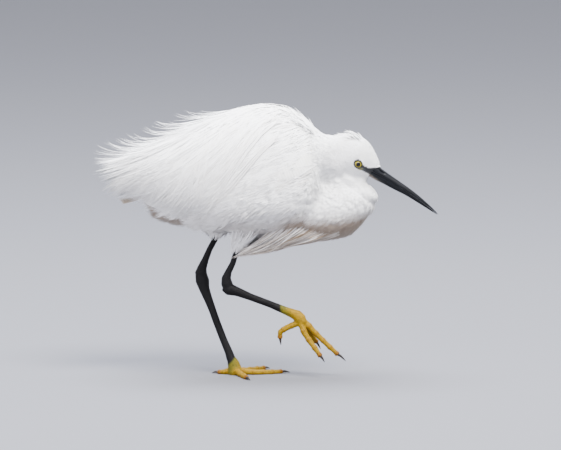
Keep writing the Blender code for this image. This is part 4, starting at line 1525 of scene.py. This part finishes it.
@dataclass
class BackPlumes(Bundles):
    """The mantle's plate and the long loose plumes that grow from it over the rump."""

    feathers: int = 410
    front: float = 96.0
    back: float = -84.0
    angle: float = 26.0
    grid: tuple[int, int] = (60, 24)
    wisp_count: int = 130
    hem: Rows = (
        (0, -147, 8), (0.22, -147, 60), (0.42, -143, 116), (0.6, -129, 142), (0.8, -98, 142),
        (1.0, -40, 138))

    def mantle(self) -> Object:
        """Makes the smooth plate along the top of the back.

        Returns:
            The plate's object, with the lie of its feathers.
        """
        x = np.linspace(self.front, self.back, self.grid[0])[:, None]
        share = np.linspace(-1, 1, self.grid[1])[None, :]
        rim = 3.0 * ease(0.7, 1.0, np.abs(share)) + 3.5 * ease(87, 96, x)
        side = np.where(share >= 0, 1.0, -1.0)
        angle = np.abs(share) * self.angle
        outer = CLOAK.point(x, angle, 0.8 + rim, side)
        inner = CLOAK.point(x, angle, 6.0 - rim * 0.2, side)
        ring = np.concatenate([outer, inner[:, ::-1]], axis=1)[:, ::-1]
        obj = tubes("mantle", ring[None])
        mesh = obj.data
        points, normals = places_of(mesh), normals_of(mesh)
        lie = np.tile([-1.0, 0.0, -0.15], (len(points), 1))
        lie[:, 1] += points[:, 1] * 0.012
        set_lie(mesh, lie, normals)
        set_numbers(mesh, "length", np.full(len(points), 18 * MM))
        inside = (points[:, 0] > self.back + 8) & (points[:, 0] < self.front - 5)
        set_numbers(mesh, "cover", ((normals[:, 2] > 0.4) & inside).astype(float))
        set_numbers(mesh, "stain", np.zeros(len(points)))
        return obj

    def plumes(self, side: int) -> Object:
        """Makes the long plumes of one side, each a bundle of hair-fine strands.

        Args:
            side: 1 on the left, -1 on the right.

        Returns:
            One object with every strand.
        """
        draw, for_feather, for_strand = self.draws(11 + side)
        share = for_feather(0, 1) ** 0.8
        hem = table_at(self.hem, share)
        reach = 1 - 0.55 * for_feather(0, 1) ** 2.2
        root_x = for_feather(-40, 78)
        root_angle = np.clip(2 + 46 * share * for_feather(0.3, 1), 0.5, 50)
        tip_x = root_x + (hem[..., 0] - 3 - root_x) * reach
        tip_angle = root_angle + (hem[..., 1] + draw.normal(0, 4, share.shape) - root_angle) * reach
        layer = for_feather(0.3, 3.0)
        lift = for_feather(0, 3) + 7 * (for_feather(0, 1) > 0.92)
        lift = self.each(lift * ease(0.75, 0.95, reach))
        root_x, root_angle, layer = map(self.each, (root_x, root_angle, layer))
        tip_x, tip_angle = map(self.each, (tip_x, tip_angle))
        fan = self.fan(for_strand, 0.3)
        cut = 1 - for_strand(0, 0.16)
        along = self.along()
        x = root_x + (tip_x - root_x) * along * cut
        angle = root_angle + (tip_angle - root_angle) * (along * cut) ** 1.35
        angle += fan * (1.0 + 4.0 * along**1.5) + draw.normal(0, 1.2, fan.shape) * along**2
        angle = np.maximum(np.abs(angle), 0.3)
        depth = 1.2 + (-layer - 1.2) * ease(0.0, 0.16, along)
        depth = depth - lift * np.maximum(0, (along - 0.6) / 0.4) ** 2.2 + CLOAK.inset(angle)
        paths = CLOAK.point(x, angle, depth, side)
        widths = self.taper(1.05, 0.1, 0.45) * for_strand(0.7, 1.2)
        obj = strands(f"plumes_{side_word(side)}", paths, CLOAK.out(x, angle, side), widths, FLAT)
        # painted shade: lower plumes turn warm beige; the faint cream towards the rear is the plumes' own
        # tone
        low = ease(242, 200, paths[:, 5, 2])
        cream = 0.1 * ease(0, -100, paths[:, 5, 0])
        set_stain_and_shade(obj, (0.04 + cream + 0.28 * low) * draw.uniform(0.3, 1, len(fan)))
        return obj

    def wisps(self, side: int) -> Object:
        """Makes the single hair-fine plumes that lift off the back and curl up at their ends.

        Args:
            side: 1 on the left, -1 on the right.

        Returns:
            One object with every strand.
        """
        draw = np.random.default_rng(SEED + 17 + side)
        for_wisp = partial(draw.uniform, size=(self.wisp_count, 1))
        along = np.linspace(0, 1, 12)[None, :]
        root_x = for_wisp(-80, 25)
        reach = for_wisp(55, 95)
        tip_x = np.maximum(root_x - reach, -155 + 9 * for_wisp(0, 1))
        x = root_x + (tip_x - root_x) * along
        angle = 0.5 + 75 * for_wisp(0, 1) ** 2.2 * (0.35 + 0.65 * along**0.8)
        rise = 2 + 27 * for_wisp(0, 1) ** 1.4 * ease(60, 10, angle)
        lift = rise * (0.45 * along**1.4 + 0.55 * along**4)
        paths = CLOAK.point(x, angle, -1.0 - lift, side)
        widths = np.broadcast_to(0.75 * np.interp(along, [0, 0.1, 0.6, 1.0], [0.7, 1.0, 0.8, 0.2]), x.shape)
        obj = strands(f"wisps_{side_word(side)}", paths, CLOAK.out(x, angle, side), widths)
        set_stain_and_shade(obj, np.zeros(len(x)))
        return obj

    def build(self, trees: CoatTree, tufts: Collection, down: Material) -> None:
        """Makes and dresses the mantle and the plumes.

        Args:
            trees: The node tree of the coat.
            tufts: Kinds of mantle feather.
            down: Material of the feathers.
        """
        mantle = self.mantle()
        cover = trees.sow("mantle_feathers", mantle, tufts, "cover", 14, 9, down, 1.2, 1.0)
        fit(mantle, down, ("back_plumes",))
        fit(cover, down)
        for side in (1, -1):
            fit(self.plumes(side), down)
            fit(self.wisps(side), down)


@dataclass
class SilkCover(Bundles):
    """Long soft shoulder feathers, hair-fine, that hide the folded wing and slope down to the rear."""

    feathers: int = 400
    strands_each: int = 8
    stations: int = 6
    slope: float = 0.42

    def build(self, down: Material) -> None:
        """Makes and dresses the feathers.

        Args:
            down: Material of the feathers.
        """
        draw, for_feather, for_strand = self.draws(47 + self.side)
        root_x = 93 - 99 * for_feather(0, 1) ** 0.9
        high = CLOAK.point(root_x, 9.0, 0, 1)[..., 2]
        low = CLOAK.edge_height(root_x) - 2
        root_z = low + (high - low) * for_feather(0, 1)
        reach = for_feather(34, 62)
        layer = for_feather(0.1, 1.6)
        fall = self.slope * for_feather(0.85, 1.2)
        along = self.along()
        fan = self.fan(for_strand, 0.3)
        cut = 1 - 0.18 * np.abs(fan) - for_strand(0, 0.12)
        x = self.each(root_x) - self.each(reach) * along * cut
        z = self.each(root_z) - self.each(reach * fall) * along * cut + fan * (0.8 + 4.5 * along**0.9)
        z = np.maximum(z, CLOAK.edge_height(x) - 5)
        angle = np.maximum(CLOAK.angle_at(x, z), 5.0)
        depth = 5.5 * ease(0.3, 0.0, along) - self.each(layer) + CLOAK.inset(angle)
        paths = CLOAK.point(x, angle, depth, self.side)
        widths = self.taper(1.0) * for_strand(0.75, 1.2)
        obj = strands(f"silk_{side_word(self.side)}", paths, CLOAK.out(x, angle, self.side), widths, FLAT)
        # painted shade: a warm beige band along the wing's lower edge
        band = ease(26, 6, z[:, 3] - CLOAK.edge_height(x[:, 3]))
        set_stain_and_shade(obj, 0.4 * band * draw.uniform(0, 1, len(fan)))
        fit(obj, down)


@dataclass
class BreastPlumes(Bundles):
    """Stringy plumes that hang from the lower breast, back under the belly."""

    feathers: int = 370
    hem: Rows = (
        (-6, 132), (8.8, 136), (20, 138), (36, 139.6), (50, 142.8), (64, 146.6), (88, 149.8), (130, 160))
    gap: tuple[float, float] = (-31.0, -12.0)

    def build(self, down: Material) -> None:
        """Makes and dresses the plumes.

        Args:
            down: Material of the plumes.
        """
        draw, for_feather, for_strand = self.draws(23)
        y = for_feather(-38, 36)
        pick = for_feather(0, 1)
        outside = pick < 0.6
        flank = np.where(pick < 0.4, -1.0, 1.0)
        high = for_feather(0, 1)
        start = np.where(outside, 119 - 56 * high, 130 - 0.7 * np.abs(y) + for_feather(-52, 6))
        tip = -4 + 62 * for_feather(0, 1) ** 1.3
        behind = (y > self.gap[0]) & (y < self.gap[1])
        tip = np.where(behind, for_feather(20, 50), tip)
        rise = 11 * for_feather(0, 1) ** 1.5
        rise = np.where(outside, 2 + 36 * high**1.2 + for_feather(-2, 4), rise)
        middle, _, below, half = np.moveaxis(table_at(Skin.breast, start), -1, 0)
        fall = (middle - table_at(self.hem, start)[..., 0] - rise) / (below + 4)
        ring = (half + 1) * np.sqrt(np.clip(1 - fall**2, 0.05, 1))
        y = np.where(outside, flank * ring, y)
        aside = for_feather(17, 33) - 9 * (flank > 0)
        aside = np.where(outside, flank * aside, y)
        along = self.along()
        fan = self.fan(for_strand, 0.4)
        cut = 1 - for_strand(0, 0.14)
        start, tip, y, aside, rise, outside = map(self.each, (start, tip, y, aside, rise, outside))
        x = start + (tip - start) * along * cut
        across = y + (aside - y) * along**1.2 + fan * (0.6 + 2.4 * along**1.3)
        across = across * (0.8 + 0.2 * ease(0, 0.35, along))
        height = table_at(self.hem, x)[..., 0]
        height = height + rise * np.where(outside, (1 - along) ** 1.15, 1 - 0.55 * along)
        height += draw.normal(0, 0.7, fan.shape) * along**2
        height += np.where(outside, 0, 16 * (np.abs(across) / 38) ** 2 * ease(-10, 80, x))
        height += np.where(outside, 0, 6 * (1 - ease(0.0, 0.2, along)))
        paths = np.stack([x, across, height], axis=-1)
        outs = np.stack([0 * x, across / 20, np.full(x.shape, -0.8)], axis=-1)
        widths = self.taper(0.7, 0.1) * for_strand(0.7, 1.25)
        obj = strands("breast_plumes", paths, outs, widths, ROUND, LOOSE)
        # warm beige that differs from plume to plume: mud stain and painted shade under the body
        shade = self.each(for_feather(0.4, 1.0))[:, 0] + draw.uniform(-0.2, 0.2, len(fan))
        set_stain_and_shade(obj, np.clip(shade, 0, 1))
        fit(obj, down)


@dataclass
class FlankFeathers(Bundles):
    """Fluffy feathers of the flank, which lie over the wing's lower edge in soft lobes."""

    strands_each: int = 11

    def build(self, down: Material) -> None:
        """Makes and dresses the feathers.

        Args:
            down: Material of the feathers.
        """
        _, for_feather, for_strand = self.draws(31 + self.side)
        root_x = for_feather(-34, 84)
        edge = CLOAK.edge_angle(root_x)
        root_angle = edge + for_feather(-7, 16)
        reach = for_feather(24, 36)
        along = self.along()
        fan = self.fan(for_strand, 0.2)
        cut = 1 - 0.25 * np.abs(fan) ** 1.5 - for_strand(0, 0.12)
        x = self.each(root_x) - self.each(reach) * along * cut * 0.9
        drop = CLOAK.edge_angle(x) - self.each(edge)
        angle = self.each(root_angle) + drop * 0.9 + along * 4 + fan * (1.0 + 8.0 * along**0.8)
        bulge = 4.5 + self.each(for_feather(0.3, 2.2))
        depth = 4.5 - bulge * np.sin(along * 2.0) + CLOAK.inset(angle)
        paths = CLOAK.point(x, angle, depth, self.side)
        widths = self.taper(1.25) * for_strand(0.8, 1.2)
        obj = strands(f"flank_{side_word(self.side)}", paths, CLOAK.out(x, angle, self.side), widths, FLAT)
        # painted shade: warmer beige towards the bottom of the flank
        set_numbers(obj.data, "stain", 0.3 * ease(215, 175, places_of(obj.data)[:, 2]))
        fit(obj, down)


@dataclass
class Undertail(Bundles):
    """Ragged feathers under the root of the tail, warm beige as painted shade, in bundles that follow the
    skin's lie.
    """

    feathers: int = 130
    strands_each: int = 8
    stations: int = 6
    rear: float = -94.0
    front: float = -38.0

    def build(self, skin: Skin, down: Material) -> None:
        """Makes and dresses the feathers.

        Args:
            skin: The finished skin.
            down: Material of the feathers.
        """
        draw, _, for_strand = self.draws(71)
        mesh = skin.obj.data
        points, normals = places_of(mesh), normals_of(mesh)
        low = (points[:, 0] > self.rear) & (points[:, 0] < self.front)
        low &= (normals[:, 2] < 0.1) & (points[:, 2] < 200)
        picked = self.each(draw.choice(np.flatnonzero(low), self.feathers))
        root, out, ahead = (a[picked][:, None] for a in (points, normals, stored(mesh, "lie")))
        along = self.along()[..., None]
        fan = self.fan(for_strand, 0.3)[..., None]
        reach = self.each(draw.uniform(10, 19, self.feathers))[:, None, None] * (1 - 0.25 * np.abs(fan))
        lift = self.each(draw.uniform(0, 6, self.feathers))[:, None, None]
        paths = root - out + ahead * reach * along + np.cross(out, ahead) * fan * 3.6 * along
        paths = paths + out * (2.2 * np.sin(along * 2.4) + lift * along**2)
        paths[..., 2] -= 2.5 * along[..., 0] ** 2
        widths = np.broadcast_to(self.taper(0.95), paths.shape[:2])
        obj = strands("undertail_feathers", paths, np.broadcast_to(out, paths.shape), widths, ROUND, LOOSE)
        # painted shade: strong warm beige under the tail
        set_stain_and_shade(obj, draw.uniform(0.3, 0.95, len(fan)))
        fit(obj, down)


@dataclass
class Tail:
    """Short tail: a fan of vanes under the plumes."""

    feathers: int = 12
    root: Point = (-88.0, 0.0, 201.5)
    tip: Point = (-124.0, 0.0, 195.0)

    def build(self, vane: Material) -> None:
        """Makes and dresses the tail.

        Args:
            vane: Material of the vanes.
        """
        out = np.linspace(-1, 1, self.feathers)[:, None]
        along = np.linspace(0, 1, 10)[None, :]
        x = self.root[0] + (self.tip[0] + 4 * np.abs(out) - self.root[0]) * along
        y = out * (5 + 6.5 * along)
        z = self.root[2] + (self.tip[2] - self.root[2]) * along - 3.2 * np.abs(out) * (0.4 + 0.6 * along)
        z = z + 0.5 * (np.arange(self.feathers) % 2)[:, None]
        paths = np.stack([np.broadcast_to(x, z.shape), np.broadcast_to(y, z.shape), z], axis=-1)
        outs = np.zeros_like(paths)
        outs[..., 1] = out * 0.3
        outs[..., 2] = 1
        shape = np.interp(along, [0, 0.3, 0.8, 0.94, 1.0], [0.5, 0.9, 1.0, 0.75, 0.25])
        widths = np.broadcast_to(5.5 * shape, z.shape)
        fit(vanes("tail_vanes", paths, outs, widths, 0.5, 0.08), vane, ("tail",))


@dataclass
class Crest:
    """Short lifted feathers at the back of the crown."""

    feathers: int = 46
    stations: int = 6

    def build(self, down: Material) -> None:
        """Makes and dresses the crest.

        Args:
            down: Material of the feathers.
        """
        draw = np.random.default_rng(SEED + 5)
        for_feather = partial(draw.uniform, size=(self.feathers, 1))
        y = for_feather(-9, 9)
        start = for_feather(-22, -8)
        reach = for_feather(9, 15)
        along = np.linspace(0, 1, self.stations)[None, :]
        place = start - reach * along
        crown = 25.4 - 0.055 * y**2
        lift = for_feather(0.5, 3.0)
        height = crown - 1.5 - 0.018 * (place + 12) ** 2 + lift * along**1.5 + 2.0 * along
        across = y * (1 + 0.15 * along) + draw.normal(0, 0.6, y.shape) * along
        paths = HEAD.point(place, height, across)
        outs = np.broadcast_to(HEAD.up(), paths.shape)
        widths = 1.5 * np.interp(along, [0, 0.2, 0.6, 1.0], [0.7, 1.0, 0.7, 0.12])
        obj = strands("crest", paths, outs, np.broadcast_to(widths, place.shape), ROUND)
        set_stain_and_shade(obj, np.zeros(self.feathers))
        fit(obj, down)


@dataclass
class Bill:
    """The dagger bill: two halves that meet along the mouth, with a groove and nostril on each side."""

    rows: Rows = (
        (13, 11.4, 0.8, -6.2, 8.4), (19, 10.6, 2.0, -5.2, 7.7), (26, 9.9, 2.9, -4.5, 6.3),
        (36, 9.9, 4.0, -2.8, 5.1), (50, 10.1, 5.0, -0.8, 4.0), (63, 10.2, 5.7, 1.3, 3.1),
        (77, 9.6, 6.0, 2.5, 2.4), (92, 8.0, 5.8, 3.5, 1.6), (101, 6.5, 5.3, 4.2, 0.9),
        (105, 5.4, 5.0, 4.7, 0.35))
    stations: int = 90
    arc: int = 40

    def half(self, upper: bool) -> Object:
        """Makes one half.

        Args:
            upper: True for the upper half.

        Returns:
            The half's object.
        """
        place = np.linspace(self.rows[0][0], self.rows[-1][0] - (0 if upper else 1.2), self.stations)
        ridge, mouth, lower, half = (c[:, None] for c in table_at(self.rows, place).T)
        turn = np.linspace(0, math.pi, self.arc)[None, :]
        bulge = np.sin(turn) ** (0.85 if upper else 1.0)
        gap = 0.15 if upper else -0.15
        reach = (ridge if upper else lower) - mouth - gap
        groove = np.exp(-(((np.sin(turn) - 0.62) / 0.12) ** 2)) * ease(70, 30, place)[:, None]
        slit = np.exp(-(((place - 27) / 3.4) ** 4))[:, None] * np.exp(
            -(((np.sin(turn) - 0.55) / 0.12) ** 2))
        width = half * (1.0 if upper else 0.94) * np.cos(turn)
        if upper:
            width = width - np.sign(np.cos(turn)) * (0.7 * groove * half / 6 + 1.3 * slit)
        height = mouth + gap + reach * bulge
        ring = HEAD.point(place[:, None], height, width)
        if not upper:
            ring = ring[:, ::-1]
        obj = tubes("bill_top" if upper else "bill_bottom", ring[None])
        obj.data.set_sharp_from_angle(angle=math.radians(40))
        along, rise = HEAD.coordinates(places_of(obj.data))
        pale = ease(40, 20, along) * ease(-1.5, -3.5, rise) * (0.0 if upper else 0.7)
        set_numbers(obj.data, "pale", pale)
        return obj

    def build(self, horn: Material) -> None:
        """Makes and dresses both halves.

        Args:
            horn: Material of the bill.
        """
        fit(self.half(True), horn, ("bill_upper",))
        fit(self.half(False), horn, ("bill_lower",))


@dataclass
class Eye:
    """An eyeball with a raised cornea, and the folded rims of its lids."""

    side: int
    out: float = 11.2
    radius: float = 6.0
    cornea: float = 0.35
    lid_radius: float = 4.3
    lid_out: float = 1.1

    def build(self, gloss: Material, skin: Material) -> None:
        """Makes and dresses the eye.

        Args:
            gloss: Material of the eyeball.
            skin: Material of the lids.
        """
        word = side_word(self.side)
        middle = np.array(HEAD.eye) + np.array([0, self.side * self.out, 0])
        turn = np.linspace(0.03, math.pi - 0.03, 40)[:, None]
        around = circle(64)[None, :]
        raised = self.radius + self.cornea * np.exp(-((turn / 0.55) ** 4))
        flat = raised * np.sin(turn)
        depth = self.side * raised * np.cos(turn) * np.ones_like(around)
        ball = np.stack([flat * np.cos(around), depth, flat * np.sin(around)], axis=-1)
        if self.side < 0:
            ball = ball[:, ::-1]
        eye = tubes(f"eyeball_{word}", (middle + ball)[None])
        face_out(eye.data)
        fit(eye, gloss, (f"eye_{word}",))
        lid = self.lid(f"lids_{word}", middle)
        fit(lid, skin)

    def lid(self, name: str, middle: Array) -> Object:
        """Makes the rims round the eye, drawn out to a corner in front and behind.

        Args:
            name: Name of the piece.
            middle: Middle of the eyeball.

        Returns:
            The lids' object.
        """
        turn = circle(72)[:, None]
        bend = circle(10)[None, :]
        point = 0.9 * np.exp(-(((turn - 2 * math.pi * (turn > math.pi)) / 0.35) ** 2))
        point += 0.9 * np.exp(-(((turn - math.pi) / 0.35) ** 2))
        reach = self.lid_radius + point - 0.25 * np.sin(turn) ** 2
        thick = 0.62 + 0.1 * np.sin(9 * turn)
        radius = reach + thick * np.cos(bend) * 1.25
        flat = radius[..., None] * (
            np.cos(turn)[..., None] * HEAD.along() + np.sin(turn)[..., None] * HEAD.up())
        seat = np.sqrt(np.maximum(self.radius**2 - reach**2, 4.0))
        out = (seat + self.lid_out + thick * np.sin(bend) * 0.9)[..., None] * np.array([0, self.side, 0])
        ring = middle + flat + out
        closed = np.concatenate([ring, ring[:1]])
        obj = tubes(name, closed[None])
        weld_hoop(obj.data)
        face_out(obj.data)
        along, _ = HEAD.coordinates(places_of(obj.data))
        set_numbers(obj.data, "bare", np.ones(len(along)))
        set_numbers(obj.data, "ahead", np.clip(0.86 + 0.01 * along, 0, 1))
        return obj


def face_out(mesh: Mesh) -> None:
    """Turns the faces of a closed mesh outwards.

    Args:
        mesh: The mesh to turn.
    """
    made = bmesh.new()
    made.from_mesh(mesh)
    bmesh.ops.recalc_face_normals(made, faces=made.faces)
    made.to_mesh(mesh)
    made.free()


def weld_hoop(mesh: Mesh) -> None:
    """Welds the first and last ring of a hoop and drops its inner caps.

    Args:
        mesh: A tube whose last ring repeats its first.
    """
    made = bmesh.new()
    made.from_mesh(mesh)
    caps = [f for f in made.faces if len(f.verts) > 4]
    bmesh.ops.delete(made, geom=caps, context="FACES_ONLY")
    bmesh.ops.remove_doubles(made, verts=made.verts, dist=1e-7)
    made.to_mesh(mesh)
    made.free()


@dataclass
class ThighFringe:
    """Loose ends of the thigh's feathers, which hang over the top of the bare shank."""

    name: str
    rings: tuple[tuple[Point, float, float], ...]
    feathers: int = 380

    def build(self, down: Material) -> None:
        """Makes and dresses the fringe.

        Args:
            down: Material of the feathers.
        """
        draw = np.random.default_rng(SEED + 61)
        count = self.feathers
        turn = draw.uniform(0, 2 * math.pi, (count, 1))
        along = np.linspace(0, 1, 5)[None, :]
        start = draw.uniform(0.0, 1.9, (count, 1))
        place = np.minimum(start + along * draw.uniform(0.9, 1.7, (count, 1)), 3.3)
        rows = tuple((float(i), *c, a, b) for i, (c, a, b) in enumerate(self.rings))
        middle_x, middle_y, middle_z, fore, wide = np.moveaxis(table_at(rows, place), -1, 0)
        proud = 0.3 + 1.2 * np.sin(along * 2.8)
        x = middle_x + (fore + proud) * np.cos(turn) - 0.6 * along**2
        y = middle_y + (wide + proud) * np.sin(turn)
        paths = np.stack([x, y, middle_z + 0 * x], axis=-1)
        outs = np.stack([np.cos(turn) + 0 * x, np.sin(turn) + 0 * x, 0.2 + 0 * x], axis=-1)
        widths = np.broadcast_to(0.85 * np.interp(along, [0, 0.3, 0.8, 1], [0.7, 1, 0.6, 0.1]), x.shape)
        obj = strands(f"fringe_{self.name}", paths, outs, widths, ROUND, 0.4)
        set_stain_and_shade(obj, draw.uniform(0.05, 0.4, count))
        fit(obj, down)


THIGH_LEFT = (
    "left", (((-14, 26, 171), 26, 13.5), ((-17, 22.5, 161), 16.5, 10), ((-17, 19, 155), 8, 6.5),
    ((-18.5, 17.7, 149), 4.2, 4), ((-21.5, 16.8, 143), 3.7, 3.6)))
THIGH_RIGHT = (
    "right", (((18, -27, 166), 17, 12.5), ((12, -25, 154), 11, 9), ((7, -22, 145), 6.4, 5.8),
    ((4.6, -21, 139), 4.2, 4.2), ((3, -20.8, 133), 3.7, 3.8)))
TOES_LEFT = {
    "middle": ((4, 0, 6), (16.5, 0, 2.8), (29, 0.5, 2.4), (42, 4, 2.1), (54.5, 9, 1.9)),
    "inner": ((4, -2, 5), (9, -13, 2.6), (13, -25, 2.2), (16, -35, 1.9)),
    "outer": ((4, 2, 5), (12, 11, 2.7), (20, 20, 2.3), (28, 28, 2.1), (35, 35, 1.9)),
    "hind": ((0, 1, 5), (-8, 3, 2.6), (-15, 5, 1.9))}
TOES_RIGHT = {
    "middle": ((76, -13, 65), (85, -13, 55.5), (95, -13.3, 45), (105.5, -13.6, 34.8), (116, -14, 25)),
    "inner": ((75, -11, 61), (82, -8, 52), (88, -6, 44), (93, -4.5, 37)),
    "outer": ((75, -15.5, 60), (80, -18, 48.5), (86, -20, 39.5), (92, -22, 31.5), (97, -23.5, 24.5)),
    "hind": ((71, -14, 59), (60, -13, 54), (53, -12.4, 49.6), (52.8, -12, 42.8))}


@dataclass
class Leg:
    """The scaled skin of one leg, from the bare shank to the roots of the claws."""

    side: int
    toes: dict[str, Rows]
    fade: tuple[Point, float]
    voxel: float = 0.72
    grow: float = 0.32
    floor: float = 0.05
    rounds: int = 7
    joint_step: float = 11.0
    scute_step: float = 2.6

    def build(self, scales: Material, horn: Material) -> None:
        """Makes and dresses the leg and its claws.

        Args:
            scales: Material of the skin.
            horn: Material of the claws.
        """
        word = side_word(self.side)
        toes = tuple(f"toe_{toe}_{word}" for toe in TOE_NAMES)
        nodes = (f"shank_{word}", f"tarsus_{word}", f"foot_{word}", *toes)
        obj = joined_nodes(f"leg_{word}", nodes, self.grow, self.voxel)
        mesh = obj.data
        points = places_of(mesh)
        for _ in range(self.rounds):
            points += (neighbours_mean(mesh, points) - points) * 0.5
        points[:, 2] = np.maximum(points[:, 2], self.floor)
        move_points(mesh, points)
        knots, tips, on_toe = self.knuckles(points)
        points += normals_of(mesh) * knots[:, None]
        points[:, 2] = np.maximum(points[:, 2], self.floor)
        move_points(mesh, points)
        away, offset = self.fade
        beyond = points @ np.array(away) - offset
        yellow = 0.62 * ease(-6, 1, beyond) - 0.2 * ease(15, 2, beyond)
        set_numbers(mesh, "yellow", np.maximum(yellow, 0.62 * on_toe))
        set_numbers(mesh, "joint", np.clip(0.3 * ease(0.25, 0.55, knots) + tips, 0, 0.75))
        mesh.shade_smooth()
        fit(obj, scales, nodes)
        for claw in TOE_NAMES:
            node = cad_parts[f"claw_{claw}_{word}"]
            node.data.materials.clear()
            node.data.materials.append(horn)

    def knuckles(self, points: Array) -> tuple[Array, Array, Array]:
        """Finds how far each point of the toes swells at its pads and scutes.

        Args:
            points: Places on the leg in millimetres.

        Returns:
            The swelling in millimetres, a share that rises to the toes' brown tips, and one on the toes.
        """
        swell, brown = np.zeros(len(points)), np.zeros(len(points))
        nearest = np.full(len(points), 4.6)
        for path in self.toes.values():
            line = np.array(path, dtype=float)
            steps = np.linalg.norm(np.diff(line, axis=0), axis=1)
            places = np.concatenate([[0], np.cumsum(steps)])
            fine = np.linspace(4, places[-1], 60)
            spots = np.stack([np.interp(fine, places, line[:, i]) for i in range(3)], axis=-1)
            gaps = np.linalg.norm(points[:, None] - spots[None], axis=-1)
            index = gaps.argmin(axis=1)
            gap, s = gaps[np.arange(len(points)), index], fine[index]
            hit = gap < nearest
            pad = np.cos(math.pi * (s - places[-1]) / self.joint_step) ** 8
            scute = np.abs(np.sin(math.pi * s / self.scute_step))
            inside = ease(3, 7, s)
            swell[hit] = ((0.55 * pad + 0.16 * scute) * inside)[hit]
            brown[hit] = (0.9 * ease(places[-1] - 5, places[-1] - 1, s))[hit]
            nearest[hit] = gap[hit]
        return swell, brown, ease(4.5, 3.6, nearest)


@dataclass(frozen=True)
class Studio:
    """Floor, soft lights and the camera at the photograph's angle."""

    image: tuple[int, int] = (561, 450)
    mm_per_pixel: float = 1.10
    origin_pixel: tuple[float, float] = (232.0, 375.0)
    elevation: float = 7.5
    distance: float = 7000.0
    floor_reach: float = 30.0

    def camera(self) -> None:
        """Makes the camera so that a pixel is the photograph's size at the bird's middle plane."""
        data = bpy.data.cameras.new("camera")
        data.sensor_width = 36.0
        width = self.image[0] * self.mm_per_pixel
        data.lens = data.sensor_width * self.distance / width
        data.clip_end = 100.0
        x = (self.image[0] / 2 - self.origin_pixel[0]) * self.mm_per_pixel
        z = (
            self.origin_pixel[1] - self.image[1]
            / 2) * self.mm_per_pixel / math.cos(math.radians(self.elevation))
        turn = math.radians(self.elevation)
        obj = link(bpy.data.objects.new("camera", data))
        obj.location = Vector((x, -self.distance * math.cos(turn), z + self.distance * math.sin(turn))) * MM
        obj.rotation_euler = (math.pi / 2 - turn, 0, 0)
        bpy.context.scene.camera = obj

    def light(self, name: str, place: Vector, size: float, watts: float, tone: str) -> None:
        """Hangs a soft square light that faces the bird.

        Args:
            name: Name of the light.
            place: Where it hangs, in metres.
            size: Side of the square in metres.
            watts: Its power.
            tone: Its colour.
        """
        data = bpy.data.lights.new(name, "AREA")
        data.shape = "SQUARE"
        data.size = size
        data.energy = watts
        data.color = linear(tone)[:3]
        obj = link(bpy.data.objects.new(name, data))
        obj.location = place
        obj.rotation_euler = (Vector((0.04, 0, 0.2)) - place).to_track_quat("-Z", "Y").to_euler()

    def build(self, paper: Material) -> None:
        """Makes the floor, the lights and the camera.

        Args:
            paper: Material of the floor.
        """
        mesh = bpy.data.meshes.new("floor")
        corners = [
            (x * self.floor_reach, y * self.floor_reach, 0) for x,
            y in ((-1, -1), (1, -1), (1, 1), (-1, 1))]
        mesh.from_pydata(corners, [], [(0, 1, 2, 3)])
        mesh.materials.append(paper)
        floor = link(bpy.data.objects.new("floor", mesh))
        self.light("key", Vector((0.8, -1.3, 2.8)), 1.3, 330, "FFFDF8")
        self.light("top", Vector((-0.3, 0.4, 2.6)), 1.6, 260, "F4F8FF")
        self.light("fill", Vector((-1.6, -2.4, 1.2)), 2.0, 55, "F6F4FF")
        world = bpy.data.worlds.new("studio")
        world.use_nodes = True
        sky = world.node_tree.nodes["Background"]
        sky.inputs["Color"].default_value = linear("DADCE6")
        sky.inputs["Strength"].default_value = 2.1
        bpy.context.scene.world = world
        self.camera()


def main() -> None:
    """Builds the bird piece by piece over the frame."""
    logging.basicConfig(level=logging.INFO, format="%(name)s %(message)s")
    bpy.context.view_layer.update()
    down, vane, bare = WhiteDown().make(), FlightVane().make(), BareSkin().make()
    horn, scales, claw = BillHorn().make(), LegScales().make(), ClawHorn().make()
    trees = CoatTree()
    trees.build()
    skin = Skin()
    skin.build()
    Coat().build(skin, trees, down)
    fit(skin.obj, bare, (*skin.nodes, "breast"))
    coverts = TuftShape(width=0.05, spread=0.13).build("covert_kinds", SEED + 1)
    for side in (1, -1):
        WingFolded(side).build(trees, coverts, down, vane)
        SilkCover(side).build(down)
        FlankFeathers(side).build(down)
        Eye(side).build(EyeGloss().make(), bare)
    BackPlumes().build(trees, coverts, down)
    BreastPlumes().build(down)
    Undertail().build(skin, down)
    # the tail's vanes are drawn brownish beige with a darker shaft
    Tail().build(FlightVane("soiled_tail_vane", "A08F7A", "7A6A56").make())
    Crest().build(down)
    Bill().build(horn)
    Leg(1, TOES_LEFT, ((0.75, 0, -0.66), -9.5)).build(scales, claw)
    Leg(-1, TOES_RIGHT, ((0.995, 0, 0.1), 62.0)).build(scales, claw)
    for thigh in (THIGH_LEFT, THIGH_RIGHT):
        ThighFringe(*thigh).build(down)
    Studio().build(StudioPaper().make())


if __name__ == "__main__":
    main()
